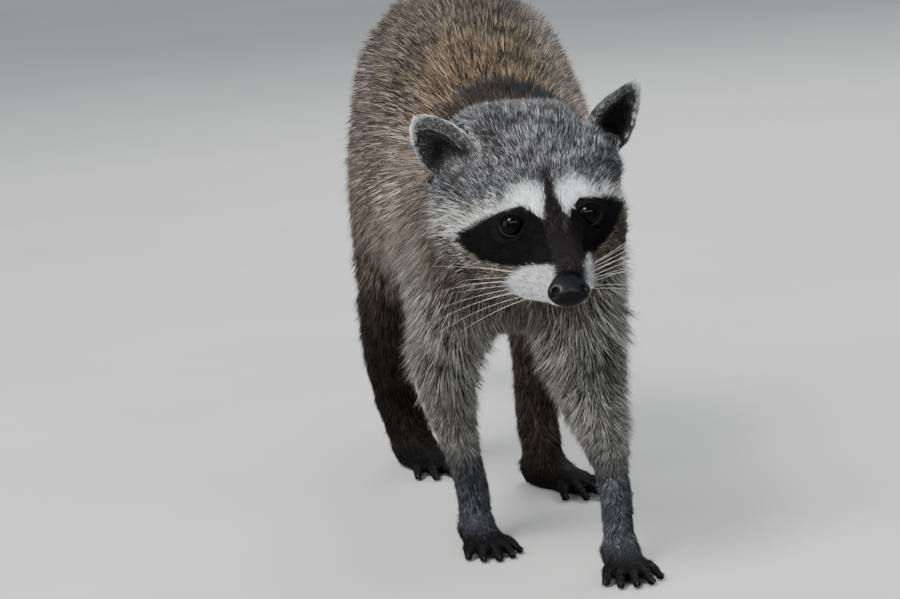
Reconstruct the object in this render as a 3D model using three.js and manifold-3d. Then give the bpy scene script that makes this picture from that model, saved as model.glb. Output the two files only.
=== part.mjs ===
// A raccoon in mid stride, life size, as a still museum figure.
// Millimetres, +Z up, the floor at z = 0. The animal faces -Y and its left side is +X.
// Every piece of flesh is a sleeve: rings set along a bone or the spine, each ring drawn out to the
// surface of one smooth body field, so that neighbouring pieces meet flush. Sizes include the coat.
import * as THREE from "three";
import { mergeVertices } from "three/addons/utils/BufferGeometryUtils.js";
import Module from "manifold-3d";

const wasm = await Module();
wasm.setup();

// ---------------------------------------------------------------- driving dimensions

const GAP = 0.4; // clearance between two pieces that meet
const NECK_CUT = -114; // where the trunk ends and the neck begins
const HEAD_CUT = -138; // where the neck ends and the head begins
const NOSE_CUT = -255; // front of the muzzle, behind the nose pad
const RUMP_END = 207;
const WRIST_HEIGHT = 25; // the legs stand on the paws at this height
const EYE = { radius: 8, x: 21.5, z: 212, sunk: 5.2 }; // the centre lies this deep under the face
const NOSE = { width: 10.6, height: 8.6, depth: 9, y: -256, z: 179.5 };
const LIPS = { corner: -209, back: 172.5, normal: [0, 0.03, -1] }; // the mouth ends at corner and back
const HEAD_TILT = { degrees: 2.2, about: 205 }; // to the right, about a line at this height
const LIMB_BLEND = 16; // width of the smooth blend of a leg or muscle into the trunk
const TAIL_BLEND = 10;
const ANKLE_BLEND = 8; // of a leg into its paw
const ROOT_MARGIN = 5; // how far a leg's buried root may swell past its own chain
const LEAST_REACH = 0.4; // the thinnest that a ring may get, from its middle out

// The spine's stations: the top line, the under line, the half width, the height of the widest line
// and how far the middle stands off to the left. The weight leans a little over the right legs.
const STATIONS = [
  { y: -262, top: 188, under: 168, side: 10, wide: 179, mid: 0 }, // muzzle tip
  { y: -247, top: 193, under: 163, side: 15, wide: 179, mid: 0 },
  { y: -230, top: 202, under: 161, side: 21, wide: 182, mid: 0 },
  { y: -214, top: 215, under: 161, side: 29, wide: 188, mid: 0 }, // stop, in front of the eyes
  { y: -200, top: 235, under: 161, side: 41, wide: 196, mid: -1 },
  { y: -183, top: 257, under: 161, side: 50, wide: 206, mid: -4 }, // forehead
  { y: -165, top: 272, under: 159, side: 54, wide: 213, mid: -7 }, // crown and cheeks
  { y: -148, top: 275, under: 156, side: 54, wide: 216, mid: -8 },
  { y: -130, top: 270, under: 150, side: 53, wide: 217, mid: -8 }, // nape and throat
  { y: -110, top: 270, under: 142, side: 57, wide: 214, mid: -8 },
  { y: -85, top: 281, under: 134, side: 64, wide: 212, mid: -10 }, // withers
  { y: -45, top: 300, under: 126, side: 71, wide: 214, mid: -11 }, // ribs
  { y: 0, top: 318, under: 120, side: 77, wide: 216, mid: -11 },
  { y: 50, top: 333, under: 120, side: 79, wide: 222, mid: -7 }, // loins, the highest stretch
  { y: 95, top: 337, under: 130, side: 78, wide: 228, mid: -4 },
  { y: 135, top: 328, under: 150, side: 71, wide: 235, mid: -2 }, // croup
  { y: 170, top: 303, under: 180, side: 55, wide: 240, mid: 0 },
  { y: 195, top: 272, under: 208, side: 33, wide: 240, mid: 0 },
  { y: 210, top: 250, under: 228, side: 14, wide: 239, mid: 0 }, // under the tail's root
];

// Broad muscles and ruffs that stand out from the spine's hull, on both sides.
const MASSES = [
  { at: [30, -166, 204], half: [22, 27, 25] }, // cheek ruff
  { at: [33, -95, 192], half: [28, 44, 56] }, // shoulder
  { at: [40, 108, 190], half: [38, 58, 74] }, // haunch
];

// Each leg from its root to the wrist or ankle: half width across and half depth fore and aft.
const LEGS = {
  foreleg_left: [
    { at: [34, -96, 208], w: 20, d: 30 },
    { at: [35, -98, 165], w: 27, d: 34 },
    { at: [26, -110, 120], w: 31, d: 31 },
    { at: [31.5, -135, 74], w: 15, d: 17.5 },
    { at: [33, -147, 54], w: 10.5, d: 13.5 },
    { at: [32, -158, 34], w: 9, d: 11.5 },
    { at: [31, -167, 18], w: 9.8, d: 11.5 },
  ],
  foreleg_right: [
    { at: [-36, -92, 208], w: 20, d: 30 },
    { at: [-45, -88, 162], w: 26, d: 34 },
    { at: [-53, -82, 118], w: 23, d: 27 },
    { at: [-47, -69, 74], w: 14, d: 16.5 },
    { at: [-42.5, -66, 54], w: 11, d: 13.5 },
    { at: [-39.5, -64, 34], w: 10, d: 11.5 },
    { at: [-39, -66, 18], w: 10.3, d: 11.5 },
  ],
  hindleg_left: [
    { at: [40, 118, 226], w: 26, d: 44 },
    { at: [45, 98, 172], w: 34, d: 52 },
    { at: [36, 88, 120], w: 27, d: 37 },
    { at: [29, 98, 74], w: 18, d: 21 },
    { at: [26, 97, 38], w: 13.5, d: 17 },
    { at: [27, 86, 18], w: 13, d: 20 },
  ],
  hindleg_right: [
    { at: [-40, 126, 226], w: 26, d: 44 },
    { at: [-48, 124, 172], w: 34, d: 52 },
    { at: [-56, 146, 120], w: 26, d: 35 },
    { at: [-58, 180, 74], w: 16.5, d: 20 },
    { at: [-51, 198, 40], w: 15, d: 17 },
    { at: [-44, 190, 18], w: 13.5, d: 19 },
  ],
};

// Each paw: where its wrist or ankle stands, the way it points in degrees towards +X, and its sizes.
const FOREPAW = { back: 8, knuckle: 24, toe: 27, palm: 13.5, heel: 11, spread: 8 };
const HINDPAW = { back: 16, knuckle: 42, toe: 28, palm: 15, heel: 12, spread: 11 };
const PAWS = {
  forepaw_left: { leg: "foreleg_left", at: [29.5, -172], turn: 0, ...FOREPAW },
  forepaw_right: { leg: "foreleg_right", at: [-39, -68], turn: 6, ...FOREPAW },
  hindpaw_left: { leg: "hindleg_left", at: [28, 84], turn: 22, ...HINDPAW },
  hindpaw_right: { leg: "hindleg_right", at: [-43, 198], turn: 14, ...HINDPAW },
};
const TOES = 5;
const TOE = { root: 3.7, tip: 2.9, arch: 6.6 }; // arch is the height of the middle of a toe
const CLAW = { length: 5, root: 1.4, tip: 0.5 };

// The tail hangs low behind, from its root to its tip: half width across, and half depth.
const TAIL = [
  { at: [0, 168, 262], w: 16, d: 16 },
  { at: [0, 205, 234], w: 23, d: 22 },
  { at: [0, 250, 198], w: 27, d: 26 },
  { at: [-2, 305, 165], w: 29, d: 28 },
  { at: [-6, 362, 143], w: 28, d: 27 },
  { at: [-12, 412, 134], w: 22, d: 21 },
  { at: [-16, 436, 134], w: 11, d: 11 },
];

// An ear is a flat egg, hollowed in front: scoop sets the hollow forward and taper narrows the tip.
// The left ear is pricked and turned outwards, so it stands higher and is narrower from the front.
const EAR = { thick: 7, tall: 24, y: -153, scoop: 6.5, taper: 0.22 };
const EAR_TURN = { lean: 8, tilt: 31, out: 24 }; // back, down to the side, and outwards, in degrees
const SIDES = {
  left: { sign: 1, earAt: [50.5, 257], earWidth: 14.5 }, // across and up, and half the width
  right: { sign: -1, earAt: [48.5, 254], earWidth: 19 },
};

// ---------------------------------------------------------------- materials

const coat = (hex, roughness = 0.9) =>
  new THREE.MeshStandardMaterial({ color: hex, roughness, metalness: 0 });
const MATERIALS = {
  back: coat(0x6b5f53),
  face: coat(0x8d8d8c),
  leg: coat(0x77726c),
  tail: coat(0x5d5248),
  paw: coat(0x231f1d),
  eye: coat(0x0d0a08, 0.05),
  nose: coat(0x121113, 0.35),
};

// ---------------------------------------------------------------- the body field

const vec = (a) => new THREE.Vector3(...a);
const clamp01 = (t) => Math.min(Math.max(t, 0), 1);

// Joins two distances smoothly over a width k.
function blended(a, b, k) {
  const h = Math.max(k - Math.abs(a - b), 0) / k;
  return Math.min(a, b) - (h * h * k) / 4;
}

const stationCurve = new THREE.CubicInterpolant(
  STATIONS.map((s) => s.y),
  STATIONS.flatMap((s) => [s.top, s.under, s.side, s.wide, s.mid]),
  5,
);

// The spine's section at one y.
function sectionAt(y) {
  const ends = [STATIONS[0].y, STATIONS.at(-1).y];
  const within = Math.min(Math.max(y, ends[0]), ends[1]);
  const [top, under, side, wide, mid] = stationCurve.evaluate(within);
  return { top, under, side, wide, mid };
}

// Distance to the hull that follows the stations: two half ellipses at each y.
function hullField(p) {
  const s = sectionAt(p.y);
  const rise = p.z > s.wide ? s.top - s.wide : s.wide - s.under;
  const reach = Math.hypot((p.x - s.mid) / s.side, (p.z - s.wide) / rise);
  return (reach - 1) * Math.min(s.side, rise);
}

// Distance to an ellipsoid on each side of the body.
function massField(p, { at, half }) {
  const reach = Math.hypot(
    (Math.abs(p.x - sectionAt(p.y).mid) - at[0]) / half[0],
    (p.y - at[1]) / half[1],
    (p.z - at[2]) / half[2],
  );
  return (reach - 1) * Math.min(...half);
}

// A chain is a bent tapering limb. Its section is w across, along side, and d the other way.
function makeChain(stations, side = vec([1, 0, 0]), steps = 3) {
  const curve = new THREE.CatmullRomCurve3(stations.map((s) => vec(s.at)));
  const count = (stations.length - 1) * steps;
  const links = [];
  for (let i = 0; i <= count; i++) {
    const at = i / steps;
    const low = Math.min(Math.floor(at), stations.length - 2);
    const mix = (key) => THREE.MathUtils.lerp(stations[low][key], stations[low + 1][key], at - low);
    links.push({ at: curve.getPoint(i / count), w: mix("w"), d: mix("d") });
  }
  return { links, side, curve };
}

function linkField(p, a, b, side) {
  const along = b.at.clone().sub(a.at);
  const t = clamp01(p.clone().sub(a.at).dot(along) / along.lengthSq());
  const off = p.clone().sub(a.at).addScaledVector(along, -t);
  const across = off.dot(side);
  const w = THREE.MathUtils.lerp(a.w, b.w, t);
  const d = THREE.MathUtils.lerp(a.d, b.d, t);
  const rest = Math.sqrt(Math.max(off.lengthSq() - across * across, 0));
  return (Math.hypot(across / w, rest / d) - 1) * Math.min(w, d);
}

function chainField(p, chain) {
  let best = Infinity;
  for (let i = 1; i < chain.links.length; i++)
    best = Math.min(best, linkField(p, chain.links[i - 1], chain.links[i], chain.side));
  return best;
}

const legChains = Object.fromEntries(
  Object.entries(LEGS).map(([name, stations]) => [name, makeChain(stations)]),
);
const tailChain = makeChain(TAIL);

// The torso without its limbs' lower ends.
function torsoField(p) {
  let d = hullField(p);
  for (const mass of MASSES) d = blended(d, massField(p, mass), LIMB_BLEND);
  return blended(d, chainField(p, tailChain), TAIL_BLEND);
}

const bodyField = (p) =>
  Object.values(legChains).reduce((d, c) => blended(d, chainField(p, c), LIMB_BLEND), torsoField(p));

// ---------------------------------------------------------------- solids

// A closed mesh as a solid for cutting and joining.
function toSolid(geometry) {
  const bare = geometry.clone();
  bare.deleteAttribute("normal");
  bare.deleteAttribute("uv");
  const merged = mergeVertices(bare, 1e-4);
  const mesh = new wasm.Mesh({
    numProp: 3,
    vertProperties: new Float32Array(merged.attributes.position.array),
    triVerts: new Uint32Array(merged.index.array),
  });
  return new wasm.Manifold(mesh);
}

function toMesh(name, solid, material) {
  const made = solid.getMesh();
  const geometry = new THREE.BufferGeometry();
  geometry.setAttribute("position", new THREE.BufferAttribute(made.vertProperties, 3));
  geometry.setIndex(new THREE.BufferAttribute(made.triVerts, 1));
  geometry.computeVertexNormals();
  const mesh = new THREE.Mesh(geometry, material);
  mesh.name = name;
  return mesh;
}

// How far the surface is from a point inside it, in one direction.
function reachOut(field, from, direction, most = 160) {
  const at = (t) => field(from.clone().addScaledVector(direction, t));
  let near = 0;
  while (near < most && at(near + 2) < 0) near += 2;
  let far = near + 2;
  for (let i = 0; i < 12; i++) {
    const mid = (near + far) / 2;
    if (at(mid) < 0) near = mid;
    else far = mid;
  }
  return near;
}

// A closed sleeve through rings, each { at, u, v } with u, v in its plane. Both ends are capped.
// Rings may run either way along the piece, so the faces are turned where they come out inside out.
function sleeve(rings, sides, field, grow = 0) {
  const points = [];
  const faces = [];
  for (const ring of rings)
    for (let k = 0; k < sides; k++) {
      const angle = (2 * Math.PI * (k + 0.5)) / sides;
      const out = ring.u.clone().multiplyScalar(Math.cos(angle));
      out.addScaledVector(ring.v, Math.sin(angle));
      const reach = Math.max(reachOut(field, ring.at, out), LEAST_REACH) * (ring.close ?? 1);
      points.push(ring.at.clone().addScaledVector(out, reach + grow));
    }
  for (let r = 1; r < rings.length; r++)
    for (let k = 0; k < sides; k++) {
      const a = (r - 1) * sides + k;
      const b = (r - 1) * sides + ((k + 1) % sides);
      faces.push(a, b, b + sides, a, b + sides, a + sides);
    }
  const last = rings.length - 1;
  const ends = [points.length, points.length + 1];
  points.push(rings[0].at.clone(), rings[last].at.clone());
  for (let k = 0; k < sides; k++) {
    const next = (k + 1) % sides;
    faces.push(ends[0], next, k, ends[1], last * sides + k, last * sides + next);
  }
  const geometry = new THREE.BufferGeometry().setFromPoints(points);
  geometry.setIndex(faces);
  const solid = toSolid(geometry);
  if (solid.volume() > 0) return solid;
  geometry.setIndex(faces.reverse());
  return toSolid(geometry);
}

// Rings across the spine, from one y to another.
function spineRings(from, to, count) {
  return Array.from({ length: count }, (_, i) => {
    const y = THREE.MathUtils.lerp(from, to, i / (count - 1));
    const { mid, wide } = sectionAt(y);
    return { at: vec([mid, y, wide]), u: vec([1, 0, 0]), v: vec([0, 0, 1]) };
  });
}

// Level rings down a leg, from its root to the wrist.
function legRings(chain, count) {
  const top = chain.links[0].at.z;
  return Array.from({ length: count }, (_, i) => {
    const z = THREE.MathUtils.lerp(top, WRIST_HEIGHT + GAP / 2, (i / (count - 1)) ** 0.9);
    return { at: pointAtHeight(chain, z), u: vec([1, 0, 0]), v: vec([0, -1, 0]) };
  });
}

function pointAtHeight(chain, z) {
  const i = Math.max(chain.links.findIndex((l) => l.at.z <= z), 1);
  const [a, b] = [chain.links[i - 1].at, chain.links[i].at];
  return a.clone().lerp(b, clamp01((a.z - z) / (a.z - b.z)));
}

// Rings square to a chain's own curve. The last ones close to a rounded tip.
function chainRings(chain, count, tip = 0.25) {
  return Array.from({ length: count }, (_, i) => {
    const t = i / (count - 1);
    const along = chain.curve.getTangent(t);
    const v = along.clone().cross(chain.side).normalize();
    const u = v.clone().cross(along).normalize();
    return { at: chain.curve.getPoint(t), u, v, close: i === count - 1 ? tip : 1 };
  });
}

// Everything on the side of a plane that its normal points to.
function halfSpace(at, normal, size = 1500) {
  const box = new THREE.BoxGeometry(size, size, size).translate(0, 0, size / 2);
  const turn = new THREE.Quaternion().setFromUnitVectors(vec([0, 0, 1]), vec(normal).normalize());
  return toSolid(box.applyQuaternion(turn).translate(...at));
}

function ball(at, half, segments = [16, 12]) {
  const sphere = new THREE.SphereGeometry(1, ...segments).scale(...half);
  return sphere.translate(...at);
}

// ---------------------------------------------------------------- the pieces

// A leg: flush with the body outside, and bounded by its own chain inside the torso.
function makeLeg(name, grow = 0) {
  const chain = legChains[name];
  const own = (p) => Math.max(bodyField(p), chainField(p, chain) - ROOT_MARGIN);
  const rings = legRings(chain, 12);
  rings[0].close = 0.8;
  return sleeve(rings, 13, own, grow);
}

function makeTail(grow = 0) {
  return sleeve(chainRings(tailChain, 13), 13, (p) => chainField(p, tailChain), grow);
}

// The chains of one paw: its sole from heel to knuckles, and five toes that fan out.
function pawChains(paw) {
  const turn = THREE.MathUtils.degToRad(paw.turn);
  const ahead = vec([Math.sin(turn), -Math.cos(turn), 0]);
  const side = vec([Math.cos(turn), Math.sin(turn), 0]);
  const place = (forward, across, z) =>
    vec([...paw.at, z]).addScaledVector(ahead, forward).addScaledVector(side, across);
  const sole = makeChain(
    [
      { at: place(-paw.back, 0, 10).toArray(), w: paw.heel, d: 10 },
      { at: place(paw.knuckle * 0.4, 0, 8.5).toArray(), w: paw.palm - 2, d: 10 },
      { at: place(paw.knuckle, 0, 5.5).toArray(), w: paw.palm, d: 7 },
    ],
    side,
  );
  const toes = Array.from({ length: TOES }, (_, i) => {
    const step = i - (TOES - 1) / 2;
    const fan = THREE.MathUtils.degToRad(step * paw.spread);
    const long = paw.toe * (1 - 0.07 * step * step);
    const root = [paw.knuckle - 2 - 1.2 * step * step, (step * paw.palm) / 2.6];
    const at = (run, z) =>
      place(root[0] + run * Math.cos(fan), root[1] + run * Math.sin(fan), z).toArray();
    const toe = [
      { at: at(0, TOE.arch), w: TOE.root, d: TOE.root },
      { at: at(long * 0.5, TOE.arch), w: TOE.root * 0.88, d: TOE.root * 0.95 },
      { at: at(long, TOE.tip), w: TOE.tip, d: TOE.tip },
    ];
    const claw = [
      { at: at(long - TOE.tip * 0.5, TOE.tip + 1), w: CLAW.root, d: CLAW.root },
      { at: at(long + CLAW.length * 0.5, TOE.tip + 0.5), w: CLAW.root * 0.7, d: CLAW.root * 0.8 },
      { at: at(long + CLAW.length, TOE.tip / 2), w: CLAW.tip, d: CLAW.tip },
    ];
    return { toe: makeChain(toe, side), claw: makeChain(claw, side) };
  });
  return { sole, toes, ahead, side };
}

// A paw with its claws. The sole is cut flat at the floor, and the top where the leg stands on it.
function makePaw(paw) {
  const { sole, toes, ahead, side } = pawChains(paw);
  const leg = legChains[paw.leg];
  const field = (p) => blended(chainField(p, sole), chainField(p, leg), ANKLE_BLEND);
  const heel = sole.links[0].at;
  const knuckle = sole.links.at(-1).at;
  const start = -paw.heel * 0.75;
  const run = knuckle.clone().sub(heel).setZ(0).length() + 5;
  const rings = Array.from({ length: 6 }, (_, i) => {
    const forward = THREE.MathUtils.lerp(start, run, i / 5);
    const at = heel.clone().addScaledVector(ahead, forward).setZ(7);
    return { at, u: side, v: vec([0, 0, 1]) };
  });
  let solid = sleeve(rings, 10, field);
  for (const { toe, claw } of toes) {
    solid = solid.add(sleeve(chainRings(toe, 4, 0.75), 6, (p) => chainField(p, toe)));
    solid = solid.add(sleeve(chainRings(claw, 3, 0.8), 4, (p) => chainField(p, claw)));
  }
  const below = halfSpace([0, 0, WRIST_HEIGHT - GAP / 2], [0, 0, -1]);
  return solid.intersect(below).intersect(halfSpace([0, 0, 0], [0, 0, 1]));
}

// An ear's own shape, upright and facing -Y, narrowed towards its tip, then placed on the head.
function earEgg(half, segments, side, centre = [0, 0, 0]) {
  const egg = ball(centre, half, segments);
  const place = egg.attributes.position;
  for (let i = 0; i < place.count; i++)
    place.setX(i, place.getX(i) * (1 - (EAR.taper * place.getZ(i)) / EAR.tall));
  const turn = (degrees) => THREE.MathUtils.degToRad(degrees);
  egg.rotateZ(turn(EAR_TURN.out * side.sign)).rotateX(turn(EAR_TURN.lean));
  egg.rotateY(turn(EAR_TURN.tilt * side.sign));
  const [across, up] = side.earAt;
  return toSolid(egg.translate(side.sign * across, EAR.y, up));
}

function makeEar(side) {
  const { thick, tall } = EAR;
  const wide = side.earWidth;
  const hollow = earEgg([wide * 0.78, thick, tall * 0.8], [12, 8], side, [0, -EAR.scoop, -1]);
  return earEgg([wide, thick, tall], [14, 8], side).subtract(hollow);
}

function makeEarSeat(side) {
  const loose = [side.earWidth, EAR.thick, EAR.tall].map((half) => half + GAP);
  return earEgg(loose, [14, 8], side);
}

// An eyeball, sunk to its depth below the surface of the face.
function makeEye(side, grow = 0) {
  const x = side.sign * EYE.x;
  const inside = vec([x, HEAD_CUT, EYE.z]);
  const front = inside.y - reachOut(torsoField, inside, vec([0, -1, 0]));
  const r = EYE.radius + grow;
  return toSolid(ball([x, front + EYE.sunk, EYE.z], [r, r, r], [12, 8]));
}

function makeNose() {
  const pad = ball([0, NOSE.y - 1, NOSE.z], [NOSE.width, NOSE.depth, NOSE.height], [14, 10]);
  return toSolid(pad).intersect(halfSpace([0, NOSE_CUT - GAP / 2, 0], [0, -1, 0]));
}

// Splits the lower jaw from the head along the line of the mouth.
function splitJaw(skull) {
  const mouth = (up) => halfSpace([0, LIPS.corner, LIPS.back + up], LIPS.normal);
  const ahead = (back) => halfSpace([0, LIPS.corner - back, 0], [0, -1, 0]);
  return {
    head: skull.subtract(mouth(0).intersect(ahead(0))),
    jaw: skull.intersect(mouth(-GAP)).intersect(ahead(GAP)),
  };
}

// ---------------------------------------------------------------- the animal

const raccoon = new THREE.Group();
const body = new THREE.Group();
raccoon.add(body);

// The head is tilted a little about a lengthwise axis, so that the left ear rides higher.
const tilted = new THREE.Group();
tilted.position.z = HEAD_TILT.about;
tilted.rotation.y = THREE.MathUtils.degToRad(-HEAD_TILT.degrees);
body.add(tilted);

const put = (name, solid, material) => body.add(toMesh(name, solid, material));

function putOnHead(name, solid, material) {
  const mesh = toMesh(name, solid, material);
  mesh.position.z = -HEAD_TILT.about;
  tilted.add(mesh);
}

let trunk = sleeve(spineRings(NECK_CUT + GAP / 2, RUMP_END, 19), 26, torsoField);
trunk = trunk.subtract(makeTail(GAP));
let neck = sleeve(spineRings(HEAD_CUT + GAP / 2, NECK_CUT - GAP / 2, 4), 26, torsoField);
for (const name of Object.keys(LEGS)) {
  trunk = trunk.subtract(makeLeg(name, GAP));
  neck = neck.subtract(makeLeg(name, GAP));
  put(name, makeLeg(name), MATERIALS.leg);
}
put("trunk", trunk, MATERIALS.back);
put("tail", makeTail(), MATERIALS.tail);

let skull = sleeve(spineRings(NOSE_CUT, HEAD_CUT - GAP / 2, 17), 26, torsoField);
for (const [name, side] of Object.entries(SIDES)) {
  skull = skull.subtract(makeEye(side, GAP)).subtract(makeEarSeat(side));
  putOnHead("eye_" + name, makeEye(side), MATERIALS.eye);
  putOnHead("ear_" + name, makeEar(side), MATERIALS.face);
}
const { head, jaw } = splitJaw(skull);
put("neck", neck, MATERIALS.back);
putOnHead("head", head, MATERIALS.face);
putOnHead("jaw", jaw, MATERIALS.face);
putOnHead("nose", makeNose(), MATERIALS.nose);

for (const [name, paw] of Object.entries(PAWS)) put(name, makePaw(paw), MATERIALS.paw);

// The origin is under the middle of the animal's box, on the floor.
const box = new THREE.Box3().setFromObject(body);
const middle = box.getCenter(new THREE.Vector3());
body.position.set(-middle.x, -middle.y, -box.min.z);

export default raccoon;
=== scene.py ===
import math

import bmesh
import bpy
import numpy as np
from bpy.props import FloatProperty, FloatVectorProperty, IntProperty, PointerProperty
from mathutils import Matrix, Vector, kdtree
from mathutils.bvhtree import BVHTree


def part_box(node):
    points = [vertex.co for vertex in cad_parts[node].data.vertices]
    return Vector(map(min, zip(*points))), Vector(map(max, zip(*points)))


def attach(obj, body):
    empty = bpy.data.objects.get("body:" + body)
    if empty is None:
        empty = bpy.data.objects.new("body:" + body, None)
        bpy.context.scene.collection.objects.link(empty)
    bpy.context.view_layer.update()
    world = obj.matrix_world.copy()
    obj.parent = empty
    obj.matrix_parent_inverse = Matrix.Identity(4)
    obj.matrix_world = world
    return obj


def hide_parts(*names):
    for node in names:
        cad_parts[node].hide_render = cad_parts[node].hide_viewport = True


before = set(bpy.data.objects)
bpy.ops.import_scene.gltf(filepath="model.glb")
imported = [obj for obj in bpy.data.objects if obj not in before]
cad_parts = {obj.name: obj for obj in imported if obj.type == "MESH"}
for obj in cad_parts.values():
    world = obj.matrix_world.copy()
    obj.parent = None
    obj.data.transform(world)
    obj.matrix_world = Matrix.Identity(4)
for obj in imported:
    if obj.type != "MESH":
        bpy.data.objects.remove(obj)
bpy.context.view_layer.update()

bl_info = {
    "name": "Raccoon figure",
    "version": (1, 0, 0),
    "blender": (4, 5, 0),
    "location": "View3D > Sidebar > Raccoon",
    "description": "Dresses the solid raccoon in its skin, coat, eyes, nose, claws and whiskers",
    "category": "Object",
}

MM = 0.001
EARS = ("ear_left", "ear_right")
EYES = ("eye_left", "eye_right")
FORELEGS = ("foreleg_left", "foreleg_right")
HINDLEGS = ("hindleg_left", "hindleg_right")
PAWS = ("forepaw_left", "forepaw_right", "hindpaw_left", "hindpaw_right")
FLESH = ("head", "jaw", "neck", "trunk", "tail") + EARS + FORELEGS + HINDLEGS + PAWS
BACK = Vector((0, 1, 0))  # the animal faces -Y
TAIL_RINGS = 5.5  # dark rings along the tail, with its tip


# ---------------------------------------------------------------- sizes and colours

def length_of(name, description, default):
    """A size of the object, in metres."""
    return FloatProperty(name=name, description=description, default=default, unit="LENGTH", precision=5)


def angle_of(name, description, degrees):
    return FloatProperty(name=name, description=description, default=math.radians(degrees), unit="ROTATION")


def power_of(name, description, watts):
    return FloatProperty(name=name, description=description, default=watts, unit="POWER")


def scale_of(name, description, default=1.0):
    return FloatProperty(name=name, description=description, default=default, min=0)


def number_of(name, description, default):
    return IntProperty(name=name, description=description, default=default, min=1)


def colour_of(name, description, red, green, blue):
    return FloatVectorProperty(
        name=name, description=description, default=(red, green, blue), subtype="COLOR", min=0, max=1
    )


class SkinSizes(bpy.types.PropertyGroup):
    """The skin under the coat."""

    gap: length_of("Gap closed", "How far each solid swells so that it meets its neighbours", 0.0004)
    ear_gap: length_of("Ear swelling", "How far the thin ears swell before they join the skin", 0.0010)
    voxel: length_of("Voxel", "Size of the cells that join the solids into one skin", 0.0010)
    faces: number_of("Faces", "Triangles of the skin before it is shaped", 180000)
    last_faces: number_of("Last faces", "Triangles of the finished skin", 198000)
    chin: length_of("Chin", "How far below the eyes the chin ends", 0.0425)
    claw_show: length_of("Claws in sight", "How far the claws stand out of the toes", 0.0020)
    toe: length_of("Toe radius", "Radius of a toe at its end", 0.0031)
    toe_groove: length_of("Toe groove", "Depth of the grooves between the toes", 0.0022)
    left_ear: length_of("Left ear ahead", "How far the skin's left ear stands ahead of its solid", 0.002)
    right_ear: length_of("Right ear ahead", "How far the skin's right ear stands ahead of its solid", 0.012)
    left_turn: angle_of("Left ear turn", "How far the left ear's opening is turned inwards", -10)
    right_turn: angle_of("Right ear turn", "How far the right ear's opening is turned inwards", 20)
    lid_thickness: length_of("Lid thickness", "How far a lid stands over the eyeball", 0.0008)
    lid_width: angle_of("Opening width", "Half the eye's opening from corner to corner", 61)
    lid_height: angle_of("Opening height", "Half the eye's opening from lid to lid", 48)
    eye_outward: angle_of("Eyes apart", "How far each eye is turned out from straight ahead", 7)
    eye_upward: angle_of("Eyes up", "How far the eyes are turned up", 9)
    gaze: angle_of("Gaze", "How far both eyes are turned to the animal's right", 5)
    mouth_depth: length_of("Mouth depth", "Depth of the groove between the lips", 0.0014)


class FaceSizes(bpy.types.PropertyGroup):
    """The eyes, nose, claws and whiskers."""

    iris: angle_of("Iris", "Half the angle that the iris takes of the eyeball", 44)
    pupil: angle_of("Pupil", "Half the angle that the pupil takes of the eyeball", 24)
    nostril: length_of("Nostril", "Radius of each nostril's mouth", 0.0019)
    claw_length: length_of("Claw length", "Length of a claw along its curve", 0.0042)
    claw_radius: length_of("Claw radius", "Radius of a claw at its root", 0.0007)
    whisker_length: length_of("Whisker length", "Length of the longest whiskers", 0.074)
    whisker_radius: length_of("Whisker radius", "Radius of a whisker at its root", 0.00011)
    whisker_count: number_of("Whiskers", "Whiskers on each side", 11)


class CoatSizes(bpy.types.PropertyGroup):
    """How full and how regular the coat is."""

    seed: number_of("Seed", "Start of the random numbers", 7)
    length: scale_of("Length", "Scales every tuft's length")
    width: scale_of("Width", "Scales every tuft's width")
    rise: scale_of("Rise", "Scales how far the tufts stand off")
    clump: length_of("Lock spacing", "Distance between the locks that tufts gather into", 0.0075)
    patch: scale_of("Patch", "Width of a tuft's patch in the baking map", 0.003)


class StageSizes(bpy.types.PropertyGroup):
    """The floor, the lights and the camera."""

    camera: FloatVectorProperty(
        name="Camera", description="Where the camera stands",
        default=(-0.3113, -2.3645, 0.508), unit="LENGTH",
    )
    azimuth: angle_of("Azimuth", "The camera's turn from straight back towards the left side", 7)
    pitch: angle_of("Pitch", "How far the camera looks down", 9.1)
    roll: angle_of("Roll", "The camera's roll", 5)
    lens: FloatProperty(
        name="Lens", description="Focal length on a 36 mm sensor", default=151.7, unit="CAMERA"
    )
    key: power_of("Key light", "Strength of the large light in front", 100)
    fill: power_of("Fill light", "Strength of the side light", 34)
    rim: power_of("Rim light", "Strength of the light behind", 52)
    strip: power_of("Strip light", "Strength of the long light above the camera", 34)
    world: scale_of("Sky", "Strength of the even light", 0.70)
    floor: colour_of("Floor", "Colour of the floor", 0.44, 0.435, 0.42)


def middle(node):
    """The middle of a node's box."""
    low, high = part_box(node)
    return (Vector(low) + Vector(high)) / 2


def half_size(node):
    """Half the size of a node's box."""
    low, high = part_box(node)
    return (Vector(high) - Vector(low)) / 2


def ramp(value, start, end):
    """0 before start, 1 after end, and smooth between them."""
    t = np.clip((value - start) / (end - start), 0, 1)
    return t * t * (3 - 2 * t)


def unit(vectors):
    """Rows made one long."""
    size = np.linalg.norm(vectors, axis=1, keepdims=True)
    return vectors / np.maximum(size, 1e-9)


def flattened(vectors, normals):
    """Rows laid into the surface and made one long."""
    return unit(vectors - (vectors * normals).sum(1, keepdims=True) * normals)


class HeadFrame:
    """Measures from between the eyes, in millimetres: across to the left, back, and up."""

    def __init__(self):
        left, right = middle("eye_left"), middle("eye_right")
        across = left - right
        across.y = 0
        across.normalize()
        self.origin = np.array((left + right) / 2)
        self.axes = np.array([across, BACK, across.cross(BACK)])

    def read(self, places):
        return ((places - self.origin) @ self.axes.T / MM).T

    def place(self, across, back, up):
        return Vector(self.origin + np.array([across, back, up]) * MM @ self.axes)


head = HeadFrame()


# ---------------------------------------------------------------- kinds of coat and tones of colour

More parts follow.
